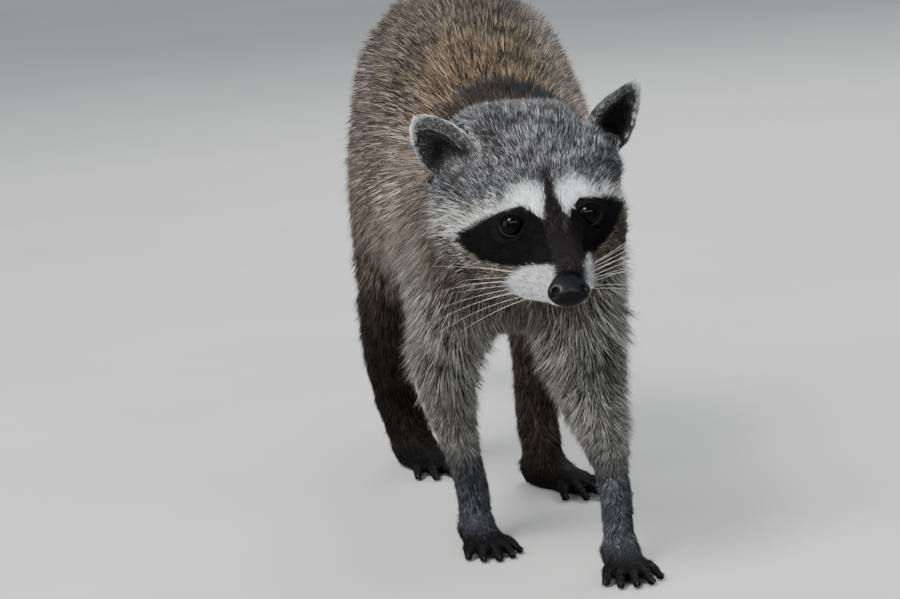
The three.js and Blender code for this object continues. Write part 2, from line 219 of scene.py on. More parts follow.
class Coat:
    """One kind of coat: lengths in millimetres and the angle it stands off the skin in degrees."""

    def __init__(self, length, width, rise, depth, lock, soft):
        self.row = (length, width, rise, depth, lock, soft)


# length, width, rise, depth of the skin under the tips, share of gathering, smoothing of the skin
COATS = {
    "muzzle": Coat(2.2, 0.36, 14, 0.7, 0.0, 0.2),
    "brow": Coat(4.2, 0.42, 18, 1.4, 0.1, 0.4),
    "crown": Coat(6.6, 0.44, 28, 2.9, 0.1, 0.8),
    "cheek": Coat(14.0, 0.62, 24, 5.5, 0.35, 0.9),
    "ear": Coat(3.6, 0.40, 12, 1.1, 0.1, 0.0),
    "neck": Coat(19.0, 0.60, 27, 7.5, 0.68, 1.0),
    "back": Coat(14.0, 0.95, 28, 6.5, 0.3, 1.0),
    "flank": Coat(15.0, 0.90, 26, 6.5, 0.75, 1.0),
    "thigh": Coat(13.0, 0.85, 23, 5.5, 0.4, 0.9),
    "shank": Coat(7.5, 0.55, 18, 1.9, 0.3, 0.5),
    "arm": Coat(17.0, 0.58, 27, 6.0, 0.5, 0.9),
    "wrist": Coat(6.0, 0.46, 17, 1.6, 0.3, 0.4),
    "paw": Coat(4.2, 0.44, 15, 0.6, 0.1, 0.03),
    "tail": Coat(25.0, 1.10, 33, 11.0, 0.4, 1.0),
}
KINDS = tuple(COATS)
COAT_TABLE = np.array([coat.row for coat in COATS.values()])
LENGTH, WIDTH, RISE, DEPTH, LOCK, SOFT = range(6)


class Tone:
    """A colour of hair: root, band and tip, the shares of darker and paler tufts, and the pale ones' glow."""

    def __init__(self, root, band, tip, dark, pale, glow=0.0):
        self.row = (*root, *band, *tip, dark, pale, glow)


TONES = {
    "mask": Tone((0.002, 0.002, 0.0022), (0.003, 0.003, 0.0034), (0.005, 0.0045, 0.005), 0, 0),
    "bridge": Tone((0.005, 0.004, 0.004), (0.010, 0.008, 0.0085), (0.020, 0.016, 0.017), 0.2, 0.14, 0.03),
    "white": Tone((0.36, 0.36, 0.36), (0.80, 0.81, 0.82), (0.88, 0.89, 0.90), 0.12, 0),
    "muzzle": Tone((0.34, 0.33, 0.33), (0.66, 0.66, 0.67), (0.72, 0.72, 0.73), 0.06, 0.1),
    "grizzle": Tone((0.014, 0.014, 0.0145), (0.155, 0.155, 0.158), (0.040, 0.040, 0.041), 0.42, 0.17, 0.11),
    "cheek": Tone((0.04, 0.036, 0.030), (0.205, 0.190, 0.160), (0.235, 0.223, 0.190), 0.36, 0.16),
    # painted shade: a near-black tone laid where shadow falls, behind the head, beside the ears and on the
    # right hind leg
    "painted_shade": Tone((0.007, 0.006, 0.006), (0.010, 0.009, 0.009), (0.010, 0.009, 0.0095), 0.2, 0.06, 0.02),
    "tan": Tone((0.028, 0.020, 0.013), (0.165, 0.118, 0.072), (0.050, 0.036, 0.026), 0.32, 0.12),
    "back": Tone((0.015, 0.012, 0.009), (0.122, 0.096, 0.070), (0.022, 0.017, 0.014), 0.42, 0.17),
    "flank": Tone((0.034, 0.027, 0.024), (0.300, 0.245, 0.212), (0.150, 0.120, 0.104), 0.38, 0.14),
    # the chest tone's dark roots and large share of dark tufts also paint the shade under the chin
    "chest": Tone((0.012, 0.010, 0.007), (0.090, 0.079, 0.058), (0.152, 0.138, 0.104), 0.48, 0.18, 0.04),
    "shoulder": Tone((0.022, 0.017, 0.014), (0.440, 0.350, 0.292), (0.260, 0.203, 0.170), 0.44, 0.20),
    "arm": Tone((0.024, 0.023, 0.021), (0.205, 0.200, 0.185), (0.400, 0.392, 0.368), 0.36, 0.20),
    "wrist": Tone((0.012, 0.012, 0.013), (0.100, 0.104, 0.115), (0.140, 0.146, 0.162), 0.40, 0.18),
    # the dark brown of the hind legs; also laid as painted shadow on the rear flank
    "dark_brown_and_shade": Tone((0.008, 0.007, 0.006), (0.050, 0.042, 0.035), (0.058, 0.049, 0.042), 0.40, 0.12),
    "paw": Tone((0.002, 0.002, 0.002), (0.0045, 0.0042, 0.0042), (0.010, 0.009, 0.009), 0.15, 0.25, 0.016),
    # painted light: the paler tone laid on the tops of the toes
    "toe": Tone((0.004, 0.0037, 0.0035), (0.014, 0.013, 0.012), (0.034, 0.031, 0.029), 0.30, 0.22, 0.05),
    "ear_rim": Tone((0.25, 0.25, 0.25), (0.52, 0.53, 0.53), (0.66, 0.67, 0.67), 0.12, 0),
    "ear_grey": Tone((0.010, 0.010, 0.010), (0.066, 0.066, 0.067), (0.135, 0.135, 0.136), 0.40, 0.20, 0.05),
    "ear_dark": Tone((0.002, 0.0017, 0.0017), (0.004, 0.0034, 0.0034), (0.01, 0.009, 0.009), 0.2, 0.08, 0.03),
    "ring": Tone((0.005, 0.004, 0.0035), (0.009, 0.007, 0.006), (0.012, 0.0095, 0.008), 0.2, 0.05),
}
TONE_NAMES = tuple(TONES)
TONE_TABLE = np.array([tone.row for tone in TONES.values()])
ROOT_TONE, BAND_TONE, TIP_TONE = slice(0, 3), slice(3, 6), slice(6, 9)
DARK_SHARE, PALE_SHARE, GLOW = 9, 10, 11
BARE = (0.0020, 0.0016, 0.0016)  # the dark skin where no hair grows
LEATHER = (0.0008, 0.0008, 0.0010)  # the nose pad
LID_SKIN = (0.006, 0.005, 0.005)  # the wet edges of the lids


def layered(count, layers):
    """Weights of the tones, laid one over another: each layer is a name and its cover from 0 to 1."""
    weights = np.zeros((count, len(TONES)))
    for name, cover in layers:
        cover = np.broadcast_to(np.clip(cover, 0, 1), (count,))[:, None]
        weights *= 1 - cover
        weights[:, TONE_NAMES.index(name)] += cover[:, 0]
    return weights


def mask_top(side):
    """Height of the mask's upper edge, from the line of the eyes, at a distance from the midline."""
    return 10.5 - 0.0115 * (side - 15) ** 2


def whisker_spots(back, up):
    """1 on the dark spots that the whiskers grow from, in rows along the sides of the muzzle."""
    cover = np.zeros(len(up))
    for row in range(5):
        for column in range(5):
            shift = 1.4 * math.sin(5 * row + 3 * column)
            away = np.hypot(back + 44 - 5.0 * column - 1.2 * row - shift, up + 22 + 3.6 * row - 0.5 * shift)
            cover = np.maximum(cover, 1 - ramp(away, 0.4, 1.1))
    return cover


def mask_under(across):
    """Height of the mask's lower edge, across the face; it slants more on the left side."""
    stations = [-52, -46, -40.5, -31, -23, -18, -10, 10, 18, 22.7, 31.5, 44.3, 50]
    heights = [-4, -12.7, -17.8, -20.8, -21.6, -20.4, -17.8, -18.6, -21.2, -19.1, -13.5, -0.8, 8]
    return np.interp(across, stations, heights)


def half_stripe(up):
    """Half the width of the dark stripe from the nose to the crown, at a height from the eyes."""
    stations = [-24, -15, -6, 0, 5, 13, 22, 34]
    return np.interp(up, stations, [8.8, 9.2, 11.0, 8.3, 6.1, 4.2, 3.5, 2.8])


class EarPose:
    """An ear's middle and axes in the skin, where the head's turn brings it ahead of its solid."""

    def __init__(self, node):
        sizes = bpy.context.scene.raccoon_skin
        left = node == "ear_left"
        inner = 1 if left else -1
        turn = sizes.left_turn if left else sizes.right_turn
        forward = sizes.left_ear if left else sizes.right_ear
        self.wide = 14.5 if left else 19.0
        self.start = np.array(middle(node))
        self.middle = self.start + forward * np.array([-0.12, -0.98, 0.16])
        along = np.array([inner * 0.51, 0.0, 0.86])
        across, ahead = np.array([inner * 0.86, 0.0, -0.51]), np.array([0.0, -1.0, 0.0])
        self.before = np.array([across, ahead, along])
        self.across = across * math.cos(turn) - ahead * math.sin(turn)
        self.ahead = ahead * math.cos(turn) + across * math.sin(turn)
        self.along = along
        self.axes = np.array([self.across, self.ahead, self.along])

    def moved(self, places):
        """Places on the ear's solid, carried to the skin's ear."""
        return self.middle + (places - self.start) @ self.before.T @ self.axes

    def reach(self, places):
        """How near to the rim places lie, from 0 to 1, how far outward and up, and how far ahead in mm."""
        outward, ahead, height = ((places - self.middle) @ self.axes.T / MM).T
        height = height / 24
        outward = outward / (self.wide * (1 - 0.22 * height))
        return np.hypot(outward, height), outward, height, ahead


def along_line(places, end, heading, start, reach):
    """1 on a line across the floor that ends at a place, fading out sideways over the reach."""
    offset = (places - end) / MM
    ahead = offset @ heading
    aside = np.abs(offset[:, 0] * heading[1] - offset[:, 1] * heading[0])
    return (1 - ramp(aside, *reach)) * ramp(ahead, start, start + 7) * (1 - ramp(ahead, 1, 4))


def toe_lines(places):
    """1 along the back of each toe, and 1 along the lines between neighbouring toes."""
    on_toe, between = np.zeros(len(places)), np.zeros(len(places))
    low = 1 - ramp(places[:, 2] / MM, 13, 18)

    for node in PAWS:
        toes = sorted(claw_tips(node), key=lambda toe: math.atan2(toe[1][0], -toe[1][1]))
        for tip, heading in toes:
            on_toe = np.maximum(on_toe, low * along_line(places, tip, heading, -21, (1.2, 2.6)))
        for (tip, heading), (next_tip, next_heading) in zip(toes[:-1], toes[1:]):
            halfway, ahead = (tip + next_tip) / 2, unit((heading + next_heading)[None, :])[0]
            between = np.maximum(between, low * along_line(places, halfway, ahead, -20, (0.3, 1.7)))
    return on_toe, between


def tail_length():
    """Where the tail starts and ends, fore and aft."""
    low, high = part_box("tail")
    return low[1], high[1]


def body_marks(places, normals, on):
    """The grizzled back, the paler chest, and legs that darken to the paws; with painted shade under the
    trunk, on the rear flanks, on the right hind leg and paw and between the toes, and painted light on the
    toes' tops.
    """
    x, y, z = (places / MM).T
    top = ramp(normals[:, 2], 0.1, 0.95)
    sideways = ramp(np.abs(normals[:, 0]), 0.45, 0.95)
    chest = ramp(-y, 120, 190) * (1 - ramp(z, 205, 250)) * (1 - 0.8 * sideways)
    belly = (1 - ramp(normals[:, 2], -0.8, -0.2)) * ramp(z, 90, 120)
    on_toe, between = toe_lines(places)
    return [
        ("flank", 1.0),
        ("back", top),
        ("tan", 0.75 * top * ramp(-y, 60, 150)),
        ("shoulder", ramp(-y, 105, 165) * (1 - top) * ramp(z, 120, 150)),
        ("chest", chest),
        # painted shade: surfaces that face down take half the dark chest tone
        ("chest", 0.5 * belly),
        # darker towards the rear and low on the flank: partly the flank's own darkening towards the thighs,
        # partly painted shadow
        ("dark_brown_and_shade", 0.75 * ramp(y, -30, 50) * (1 - ramp(z, 110, 215)) * (1 - top)),
        ("dark_brown_and_shade", on["hind"] * (1 - ramp(z, 80, 190))),
        ("flank", 0.20 * on["hindleg_left"] * (1 - ramp(z, 90, 150)) * ramp(z, 15, 35)),
        # painted shade: the right hind leg and its paw are painted darker than the left ones
        ("painted_shade", 0.45 * on["hindleg_right"] * (1 - ramp(z, 90, 190))),
        ("mask", 0.5 * on["hindpaw_right"]),
        ("arm", on["fore"]),
        ("wrist", on["fore"] * (1 - ramp(z, 42, 78))),
        ("paw", (on["fore"] + on["hind"]) * (1 - ramp(z, 8, 21))),
        # painted light: a paler tone on the tops of the toes, where light falls on them
        ("toe", on_toe * ramp(normals[:, 2], -0.1, 0.4)),
        # painted shade: the black mask tone in the grooves between the toes
        ("mask", between),
    ]


def tail_marks(places, on):
    """Dark rings, and a dark tip."""
    start, end = tail_length()
    along = (places[:, 1] - start) / (end - start)
    rings = ramp(np.cos((along - 0.02) * 2 * math.pi * TAIL_RINGS), 0.1, 0.6)
    tip = ramp(along, 0.86, 0.92)
    return [("tan", on["tail"] * 0.8), ("ring", on["tail"] * np.maximum(rings, tip))]


def face_marks(places, on):
    """The dark mask and stripe, the white brows and muzzle, and the grizzled crown."""
    u, w, v = head.read(places)
    u = u - 1.4 * ramp(v, -15, 3) * (1 - ramp(u, 20, 45))  # the stripe leans at the brow
    side = np.abs(u)
    skull = on["head"]
    rise = v - mask_top(side)
    below = v - mask_under(u)
    inner = 1 - ramp(side, 16, 26)
    white_to = -5.0 + 10.0 * inner
    fading = 15 - 6.0 * inner
    brow = ramp(v, -6, 4) * (1 - ramp(rise, white_to, white_to + fading)) * (1 - ramp(side, 38, 60) * 0.7)
    temple = ramp(side, 42, 50) * (1 - ramp(np.abs(v + 4), 8, 24)) * (1 - ramp(w, 20, 60))
    jowl = (1 - ramp(below, -3, 1)) * np.maximum(0.75 * ramp(-u, 20, 34), ramp(u, 14, 19))
    front = (1 - ramp(w, -12, 2)) * (1 - ramp(u, 14.5, 19))
    muzzle_top = -17.9 - 0.032 * np.maximum(side - 10, 0) ** 2
    chin = (1 - ramp(v, -30, -24)) * (1 - ramp(w, -6, 18)) * (1 - ramp(side, 15, 24))
    under_nose = (1 - ramp(v, -41, -38)) * (1 - ramp(w, -34, -20)) * (1 - ramp(side, 16, 22))
    beside_nose = ramp(u, 4, 9) * (1 - ramp(v, -36, -30)) * (1 - ramp(w, -34, -18))
    under_nose = np.maximum(under_nose, beside_nose)
    mask = (1 - ramp(rise, -1, 1)) * ramp(below, -1, 1)
    mask *= ramp(side - 7 - 1.15 * np.maximum(v - 2.3, 0), -0.8, 0.8) * (1 - ramp(side, 49, 51.5))
    mask *= 1 - ramp(w, 26, 34)
    edge = 1.4 + 1.2 * ramp(v, 3, 16) + 1.6 * ramp(-v, 8, 18)
    stripe = 1 - ramp((side - half_stripe(v)) / edge, -1, 1)
    stripe = stripe * (1 - ramp(v, 20, 36)) * (1 - ramp(w, 10, 24))
    return [
        ("cheek", skull),
        ("grizzle", skull * ramp(v, 4, 16)),
        ("white", skull * brow),
        ("muzzle", skull * 0.45 * temple),
        ("chest", skull * jowl),
        ("muzzle", skull * front * (1 - ramp(v, muzzle_top - 2.4, muzzle_top + 1.8))),
        ("muzzle", 0.5 * skull * chin),
        ("chest", skull * np.maximum(under_nose, 1 - ramp(v, -46, -42))),
        ("bridge", 0.7 * skull * whisker_spots(w, v)),
        ("bridge", skull * stripe * ramp(v, -34, -28)),
        ("mask", skull * mask),
    ]


def nape_shadow_marks(places, normals, on):
    """Painted shadow: the dark band behind the head, where the head shades the nape, with a softer patch in
    front of it.
    """
    x, y = (places / MM).T[:2]
    band = (1 - ramp(np.abs(y + 177), 9, 14)) * (1 - ramp(np.abs(x - 9), 27, 37))
    edge = (1 - ramp(np.abs(y + 192), 8, 15)) * (1 - ramp(np.abs(x + 6), 24, 40))
    painted_shade = np.maximum(band, 0.75 * edge) * ramp(normals[:, 2], 0.3, 0.6)
    return [("painted_shade", 0.96 * painted_shade * (1 - on["head"]) * (1 - on["ear"]))]


def ear_marks(node, places, normals, on):
    """A pale rim round a grey cup with a dark middle; the dark runs down to the ear's foot, with painted
    shade on the skull between the ear and the crown.
    """
    reach, outward, height, ahead = EarPose(node).reach(places)
    here, skull = on[node], on["head"]
    facing = ramp(-normals[:, 1], 0.0, 0.35)
    gap = 1.3 if node == "ear_left" else 1.12
    beside = 1 - ramp(np.hypot((outward + gap) / 0.4, (height + 0.5) / 0.6), 0.4, 1.0)
    close_by = 1 - ramp(np.abs(ahead), 9, 18)
    if node == "ear_left":
        from_dark = np.hypot((outward - 0.20) / 0.62, (height + 0.2) / 0.95)
    else:
        from_dark = np.hypot((outward - 0.06) / (0.80 - 0.45 * height), (height + 0.42) / 0.86)
    dark = 1 - ramp(from_dark, 0.56, 1.12)
    foot = 1 - ramp(np.hypot(outward / 0.55, (height + 0.95) / 0.35), 0.6, 1.2)
    return [
        # painted shade on the skull, in the gap between the ear and the crown
        ("painted_shade", 0.7 * skull * beside * close_by),
        ("ear_rim", here),
        ("ear_grey", here * facing * (1 - ramp(reach, 0.90, 1.0))),
        ("grizzle", here * (1 - ramp(height, -0.95, -0.6))),
        ("ear_dark", here * facing * dark),
        # the cup's dark runs down to the ear's foot; on the skull next to the foot it is painted shade
        ("ear_dark", 0.85 * (here * facing + skull) * foot * close_by),
        ("grizzle", here * (1 - facing) * (1 - ramp(reach, 0.62, 0.9))),
    ]


def markings(places, normals, on):
    """Weights of the tones at each place. `on` gives how much of each node is there."""
    layers = body_marks(places, normals, on) + tail_marks(places, on) + face_marks(places, on)
    layers += nape_shadow_marks(places, normals, on)
    for node in EARS:
        layers += ear_marks(node, places, normals, on)
    return layered(len(places), layers)


# ---------------------------------------------------------------- meshes as arrays

def array_of(items, attribute, width, kind=np.float64):
    """One attribute of all the items, as rows of this width."""
    out = np.empty(len(items) * width, kind)
    items.foreach_get(attribute, out)
    return out.reshape(-1, width) if width > 1 else out


def keep_on(mesh, name, values):
    """Stores a number or a vector for each vertex as an attribute."""
    values = np.asarray(values, np.float32)
    kind, field = ("FLOAT", "value") if values.ndim == 1 else ("FLOAT_VECTOR", "vector")
    layer = mesh.attributes.get(name) or mesh.attributes.new(name, kind, "POINT")
    layer.data.foreach_set(field, values.ravel())


def kept_on(mesh, name):
    """What keep_on stored."""
    layer = mesh.attributes[name]
    if layer.data_type == "FLOAT":
        return array_of(layer.data, "value", 1)
    return array_of(layer.data, "vector", 3)


class Hide:
    """A mesh's places, normals and edges as arrays, for work on every vertex at once."""

    def __init__(self, mesh):
        self.mesh = mesh
        self.places = array_of(mesh.vertices, "co", 3)
        self.edges = array_of(mesh.edges, "vertices", 2, np.int32).T
        self.count = len(self.places)
        self.degree = np.bincount(self.edges.ravel(), minlength=self.count).clip(1)

    def write(self):
        """Puts the places back into the mesh."""
        self.mesh.vertices.foreach_set("co", self.places.astype(np.float32).ravel())
        self.mesh.update()

    def normals(self):
        self.write()
        return array_of(self.mesh.vertex_normals, "vector", 3)

    def neighbours(self, field):
        """The mean of each vertex's neighbours."""
        a, b = self.edges
        if field.ndim == 1:
            total = np.bincount(a, field[b], self.count) + np.bincount(b, field[a], self.count)
            return total / self.degree
        return np.stack([self.neighbours(column) for column in field.T], axis=1)

    def spread(self, field, times, share=0.6):
        for _ in range(times):
            field = field + share * (self.neighbours(field) - field)
        return field


def object_from(mesh, name):
    """Puts a mesh in the scene as a smooth piece that rides on the one body."""
    mesh.name = name
    piece = bpy.data.objects.new(name, mesh)
    bpy.context.scene.collection.objects.link(piece)
    mesh.polygons.foreach_set("use_smooth", np.ones(len(mesh.polygons), bool))
    mesh.update()
    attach(piece, "root")
    return piece


def from_bmesh(bm, name):
    """Makes a piece of a bmesh and frees it."""
    mesh = bpy.data.meshes.new(name)
    bm.to_mesh(mesh)
    bm.free()
    return object_from(mesh, name)


def evaluated(mesh, kind, **settings):
    """The mesh after one modifier."""
    holder = bpy.data.objects.new("holder", mesh)
    bpy.context.scene.collection.objects.link(holder)
    modifier = holder.modifiers.new("shape", kind)
    groups = settings.pop("groups", {})
    for name, weights in groups.items():
        group = holder.vertex_groups.new(name=name)
        for level in np.unique(weights):
            group.add(np.flatnonzero(weights == level).tolist(), float(level), "REPLACE")
    for name, value in settings.items():
        setattr(modifier, name, value)
    graph = bpy.context.evaluated_depsgraph_get()
    made = bpy.data.meshes.new_from_object(holder.evaluated_get(graph))
    bpy.data.objects.remove(holder)
    return made


def corners_of(node):
    """The corners of a node's solid; an ear's are carried to where the skin has it."""
    corners = array_of(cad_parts[node].data.vertices, "co", 3)
    return EarPose(node).moved(corners) if node in EARS else corners


def merged_copy(node):
    """A node's solid with its doubled corners merged."""
    bm = bmesh.new()
    bm.from_mesh(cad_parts[node].data)
    for vertex, place in zip(bm.verts, corners_of(node)):
        vertex.co = place
    bmesh.ops.remove_doubles(bm, verts=bm.verts, dist=1e-6)
    bmesh.ops.recalc_face_normals(bm, faces=bm.faces)
    return bm


def ear_base(node):
    """The thick root of an ear, which joins it to the skull."""
    pose = EarPose(node)
    bm = bmesh.new()
    bmesh.ops.create_uvsphere(bm, u_segments=24, v_segments=16, radius=MM)
    middle_place = (pose.start + pose.middle) / 2 - pose.along * 12 * MM
    half = np.array([0.66 * pose.wide, 5.5 + np.linalg.norm(pose.middle - pose.start) / MM / 2, 11.0])
    for vertex in bm.verts:
        vertex.co = Vector(middle_place + (np.array(vertex.co) * half) @ pose.axes)
    return bm


# ---------------------------------------------------------------- materials

class Value:
    """A shader socket that takes part in Python expressions."""

    def __init__(self, finish, socket):
        self.finish = finish
        self.socket = socket

    def _with(self, operation, *others):
        node = self.finish.node("ShaderNodeMath", {"operation": operation}, [self, *others])
        return node.out(0)

    def __add__(self, other):
        return self._with("ADD", other)

    def __sub__(self, other):
        return self._with("SUBTRACT", other)

    def __mul__(self, other):
        return self._with("MULTIPLY", other)

    def __truediv__(self, other):
        return self._with("DIVIDE", other)

    def __rsub__(self, other):
        return self.finish.node("ShaderNodeMath", {"operation": "SUBTRACT"}, [other, self]).out(0)

    __radd__ = __add__
    __rmul__ = __mul__

    def ramp(self, start, end, low=0.0, high=1.0):
        """Smoothly from low at start to high at end."""
        made = self.finish.node(
            "ShaderNodeMapRange",
            {"interpolation_type": "SMOOTHSTEP", "clamp": True},
            {"Value": self, "From Min": start, "From Max": end, "To Min": low, "To Max": high},
        )
        return made.out(0)


class Made:
    """A node that was just made."""

    def __init__(self, finish, node):
        self.finish = finish
        self.node = node

    def out(self, name):
        return Value(self.finish, self.node.outputs[name])


class Finish:
    """A material under construction."""

    def __init__(self, name, **constants):
        self.material = bpy.data.materials.new(name)
        self.material.use_nodes = True
        self.tree = self.material.node_tree
        self.shader = self.tree.nodes["Principled BSDF"]
        for socket, value in constants.items():
            self.shader.inputs[socket.replace("_", " ")].default_value = value

    def node(self, kind, settings=None, inputs=None):
        """Makes a node, sets it up and fills its sockets with values or links."""
        node = self.tree.nodes.new(kind)
        for name, value in (settings or {}).items():
            setattr(node, name, value)
        pairs = inputs.items() if isinstance(inputs, dict) else enumerate(inputs or [])
        for socket, value in pairs:
            if isinstance(value, Value):
                self.tree.links.new(value.socket, node.inputs[socket])
            else:
                node.inputs[socket].default_value = value
        return Made(self, node)

    def place(self):
        return self.node("ShaderNodeTexCoord").out("Object")

    def attribute(self, name, output="Fac"):
        return self.node("ShaderNodeAttribute", {"attribute_name": name}).out(output)

    def noise(self, scale, detail=3.0, roughness=0.55, where=None):
        inputs = {"Vector": where or self.place(), "Scale": scale, "Detail": detail, "Roughness": roughness}
        return self.node("ShaderNodeTexNoise", None, inputs).out("Fac")

    def mix(self, amount, first, second, blend="MIX"):
        """Colours mixed by an amount."""
        made = self.node("ShaderNodeMix", {"data_type": "RGBA", "blend_type": blend})
        inputs = made.node.inputs
        for socket, value in ((inputs[0], amount), (inputs[6], first), (inputs[7], second)):
            if isinstance(value, Value):
                self.tree.links.new(value.socket, socket)
            elif isinstance(value, (int, float)):
                socket.default_value = value
            else:
                socket.default_value = (*value[:3], 1)
        return Value(self, made.node.outputs[2])

    def scaled(self, colour, amount):
        """A colour or vector times a number."""
        made = self.node("ShaderNodeVectorMath", {"operation": "SCALE"}, {0: colour, "Scale": amount})
        return made.out("Vector")

    def bump(self, height, strength, distance):
        return self.node(
            "ShaderNodeBump", None, {"Height": height, "Strength": strength, "Distance": distance}
        ).out("Normal")

    def feed(self, **links):
        for socket, value in links.items():
            self.tree.links.new(value.socket, self.shader.inputs[socket.replace("_", " ")])
        return self.material


def coat_finish():
    """Hair that changes from its root over a band to its tip, with each tuft a little different."""
    finish = Finish("coat", Roughness=0.6)
    finish.shader.inputs["Specular IOR Level"].default_value = 0.06
    along, grain = finish.attribute("along"), finish.attribute("grain")
    root = finish.attribute("root_tone", "Vector")
    band = finish.attribute("band_tone", "Vector")
    tip = finish.attribute("tip_tone", "Vector")
    colour = finish.mix(along.ramp(0.10, 0.42), root, band)
    speckle = finish.noise(420, 2.0)
    edge = along + (grain - 0.5) * 0.30 + (speckle - 0.5) * 0.25
    colour = finish.mix(edge.ramp(0.62, 0.84), colour, tip)
    colour = finish.scaled(colour, grain.ramp(0.0, 1.0, 0.72, 1.28))
    return finish.feed(Base_Color=colour)


def skin_finish():
    """Skin that shows between the tufts, in the coat's own markings, leaning to the dark roots as painted
    shade deep in the coat.
    """
    finish = Finish("skin", Roughness=0.8)
    finish.shader.inputs["Specular IOR Level"].default_value = 0.08
    tone = finish.attribute("skin_tone", "Vector")
    fine = finish.noise(900, 3.0)
    colour = finish.scaled(tone, fine.ramp(0.3, 0.7, 0.55, 1.05))
    return finish.feed(Base_Color=colour, Normal=finish.bump(fine, 0.5, 0.0004))


def eye_finish(sizes):
    """A dark brown iris round a black pupil, under a wet surface."""
    finish = Finish("eye", Roughness=0.4, Coat_Weight=0.25, Coat_Roughness=0.01)
    finish.shader.inputs["Specular IOR Level"].default_value = 0
    finish.shader.inputs["Coat IOR"].default_value = 1.36
    distance = finish.attribute("off_axis")
    streaks = finish.noise(1400, 2.0)
    iris = finish.mix(streaks.ramp(0.3, 0.7), (0.0008, 0.0005, 0.0004), (0.0026, 0.0014, 0.001))
    off_pupil = distance.ramp(sizes.pupil - 0.03, sizes.pupil + 0.04)
    colour = finish.mix(off_pupil, (0.0005, 0.0005, 0.0005), iris)
    rim = distance.ramp(sizes.iris - 0.10, sizes.iris + 0.05)
    colour = finish.mix(rim, colour, (0.0005, 0.0004, 0.0004))
    return finish.feed(Base_Color=colour)


def wet_skin_finish(name, colour, roughness, scale, depth):
    """Bare dark skin with a fine pebbled grain, as on the nose and lids, wet where the mesh says."""
    finish = Finish(name, Coat_Roughness=0.28)
    finish.shader.inputs["Specular IOR Level"].default_value = 0.10
    finish.shader.inputs["Coat IOR"].default_value = 1.36
    pebble = finish.node(
        "ShaderNodeTexVoronoi",
        {"feature": "F1"},
        {"Vector": finish.place(), "Scale": scale, "Randomness": 0.9},
    ).out("Distance")
    soft = finish.noise(260, 3.0)
    lighter = tuple(1.8 * c for c in colour)
    shade = finish.mix(soft.ramp(0.35, 0.75), colour, lighter)
    return finish.feed(
        Base_Color=shade,
        Roughness=soft.ramp(0.3, 0.7, roughness, roughness + 0.14),
        Coat_Weight=finish.attribute("wet"),
        Normal=finish.bump(pebble, 0.55, depth),
    )


def claw_finish():
    """Dark horn."""
    finish = Finish("claw", Coat_Weight=0.05)
    grain = finish.noise(700, 4.0)
    colour = finish.mix(grain.ramp(0.3, 0.7), (0.006, 0.005, 0.0045), (0.022, 0.017, 0.014))
    return finish.feed(Base_Color=colour, Roughness=grain.ramp(0.3, 0.7, 0.34, 0.48))


def whisker_finish():
    """Pale bristle, greyer at its root."""
    finish = Finish("whisker", Roughness=0.35)
    along = finish.attribute("along")
    colour = finish.mix(along.ramp(0.0, 0.3), (0.20, 0.20, 0.19), (0.60, 0.60, 0.58))
    return finish.feed(Base_Color=colour)


# ---------------------------------------------------------------- the skin

def add_to(whole, part):
    """Adds one bmesh to another and frees it."""
    mesh = bpy.data.meshes.new("part")
    part.to_mesh(mesh)
    part.free()
    whole.from_mesh(mesh)
    bpy.data.meshes.remove(mesh)


SMOOTH_STEPS = 16
SINK_STEPS = 6
CROWN_RAISE = 5.4  # how much less the crown sinks than the rest, in millimetres
KEPT_COLUMNS = {LENGTH: "hair_length", WIDTH: "hair_width", RISE: "hair_rise", LOCK: "hair_lock"}


def joined_flesh(sizes):
    """All solids of flesh, and the eyeballs that fill their sockets, as one closed skin."""
    whole = bmesh.new()
    for node in FLESH + EYES:
        part = merged_copy(node)
        if node in PAWS:
            without_claws(part, node, sizes)
        grow = 0 if node in EYES else sizes.ear_gap if node in EARS else sizes.gap
        for vertex in part.verts:
            vertex.co += vertex.normal * grow
        add_to(whole, part)
    for node in EARS:
        add_to(whole, ear_base(node))
    for node in PAWS:
        for tip, heading in claw_tips(node):
            add_to(whole, toe_balls(tip, heading, sizes))
    mesh = bpy.data.meshes.new("flesh")
    whole.to_mesh(mesh)
    whole.free()
    return evaluated(mesh, "REMESH", mode="VOXEL", voxel_size=sizes.voxel)


def fine_places(hide):
    """1 where the skin needs its small faces: the head's front, the ears and the paws."""
    u, w, v = head.read(hide.places)
    z = hide.places[:, 2] / MM
    fine = (1 - ramp(w, 20, 45)) * (hide.places[:, 1] < -0.2)
    fine = np.maximum(fine, 1 - ramp(z, 32, 50))
    for node in EARS:
        away = np.linalg.norm((hide.places - EarPose(node).middle) / MM, axis=1)
        fine = np.maximum(fine, 1 - ramp(away, 26, 36))
    return np.round(fine * 4) / 4


def thinned(mesh, faces):
    """The skin with fewer faces, mostly where it is smooth and plain."""
    coarse = 1 - 0.92 * fine_places(Hide(mesh))
    triangles = len(mesh.loops) - 2 * len(mesh.polygons)
    return evaluated(
        mesh, "DECIMATE", ratio=faces / triangles, vertex_group="coarse",
        vertex_group_factor=1.0, groups={"coarse": coarse},
    )


def nearest_nodes(places):
    """For each place, the number of the flesh node whose surface is nearest."""
    corners, triangles, owner = [], [], []
    for number, node in enumerate(FLESH):
        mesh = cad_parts[node].data
        start = len(corners)
        corners.extend(corners_of(node).tolist())
        for face in mesh.polygons:
            triangles.append([start + i for i in face.vertices])
            owner.append(number)
    tree = BVHTree.FromPolygons(corners, triangles)
    return np.array([owner[tree.find_nearest(place)[2]] for place in places.tolist()])


def shares(hide, label, times):
    """How much of each node is at each vertex, softened across the seams."""
    flat = np.zeros((hide.count, len(FLESH)))
    flat[np.arange(hide.count), label] = 1
    soft = hide.spread(flat, times)
    return grouped({node: soft[:, number] for number, node in enumerate(FLESH)})


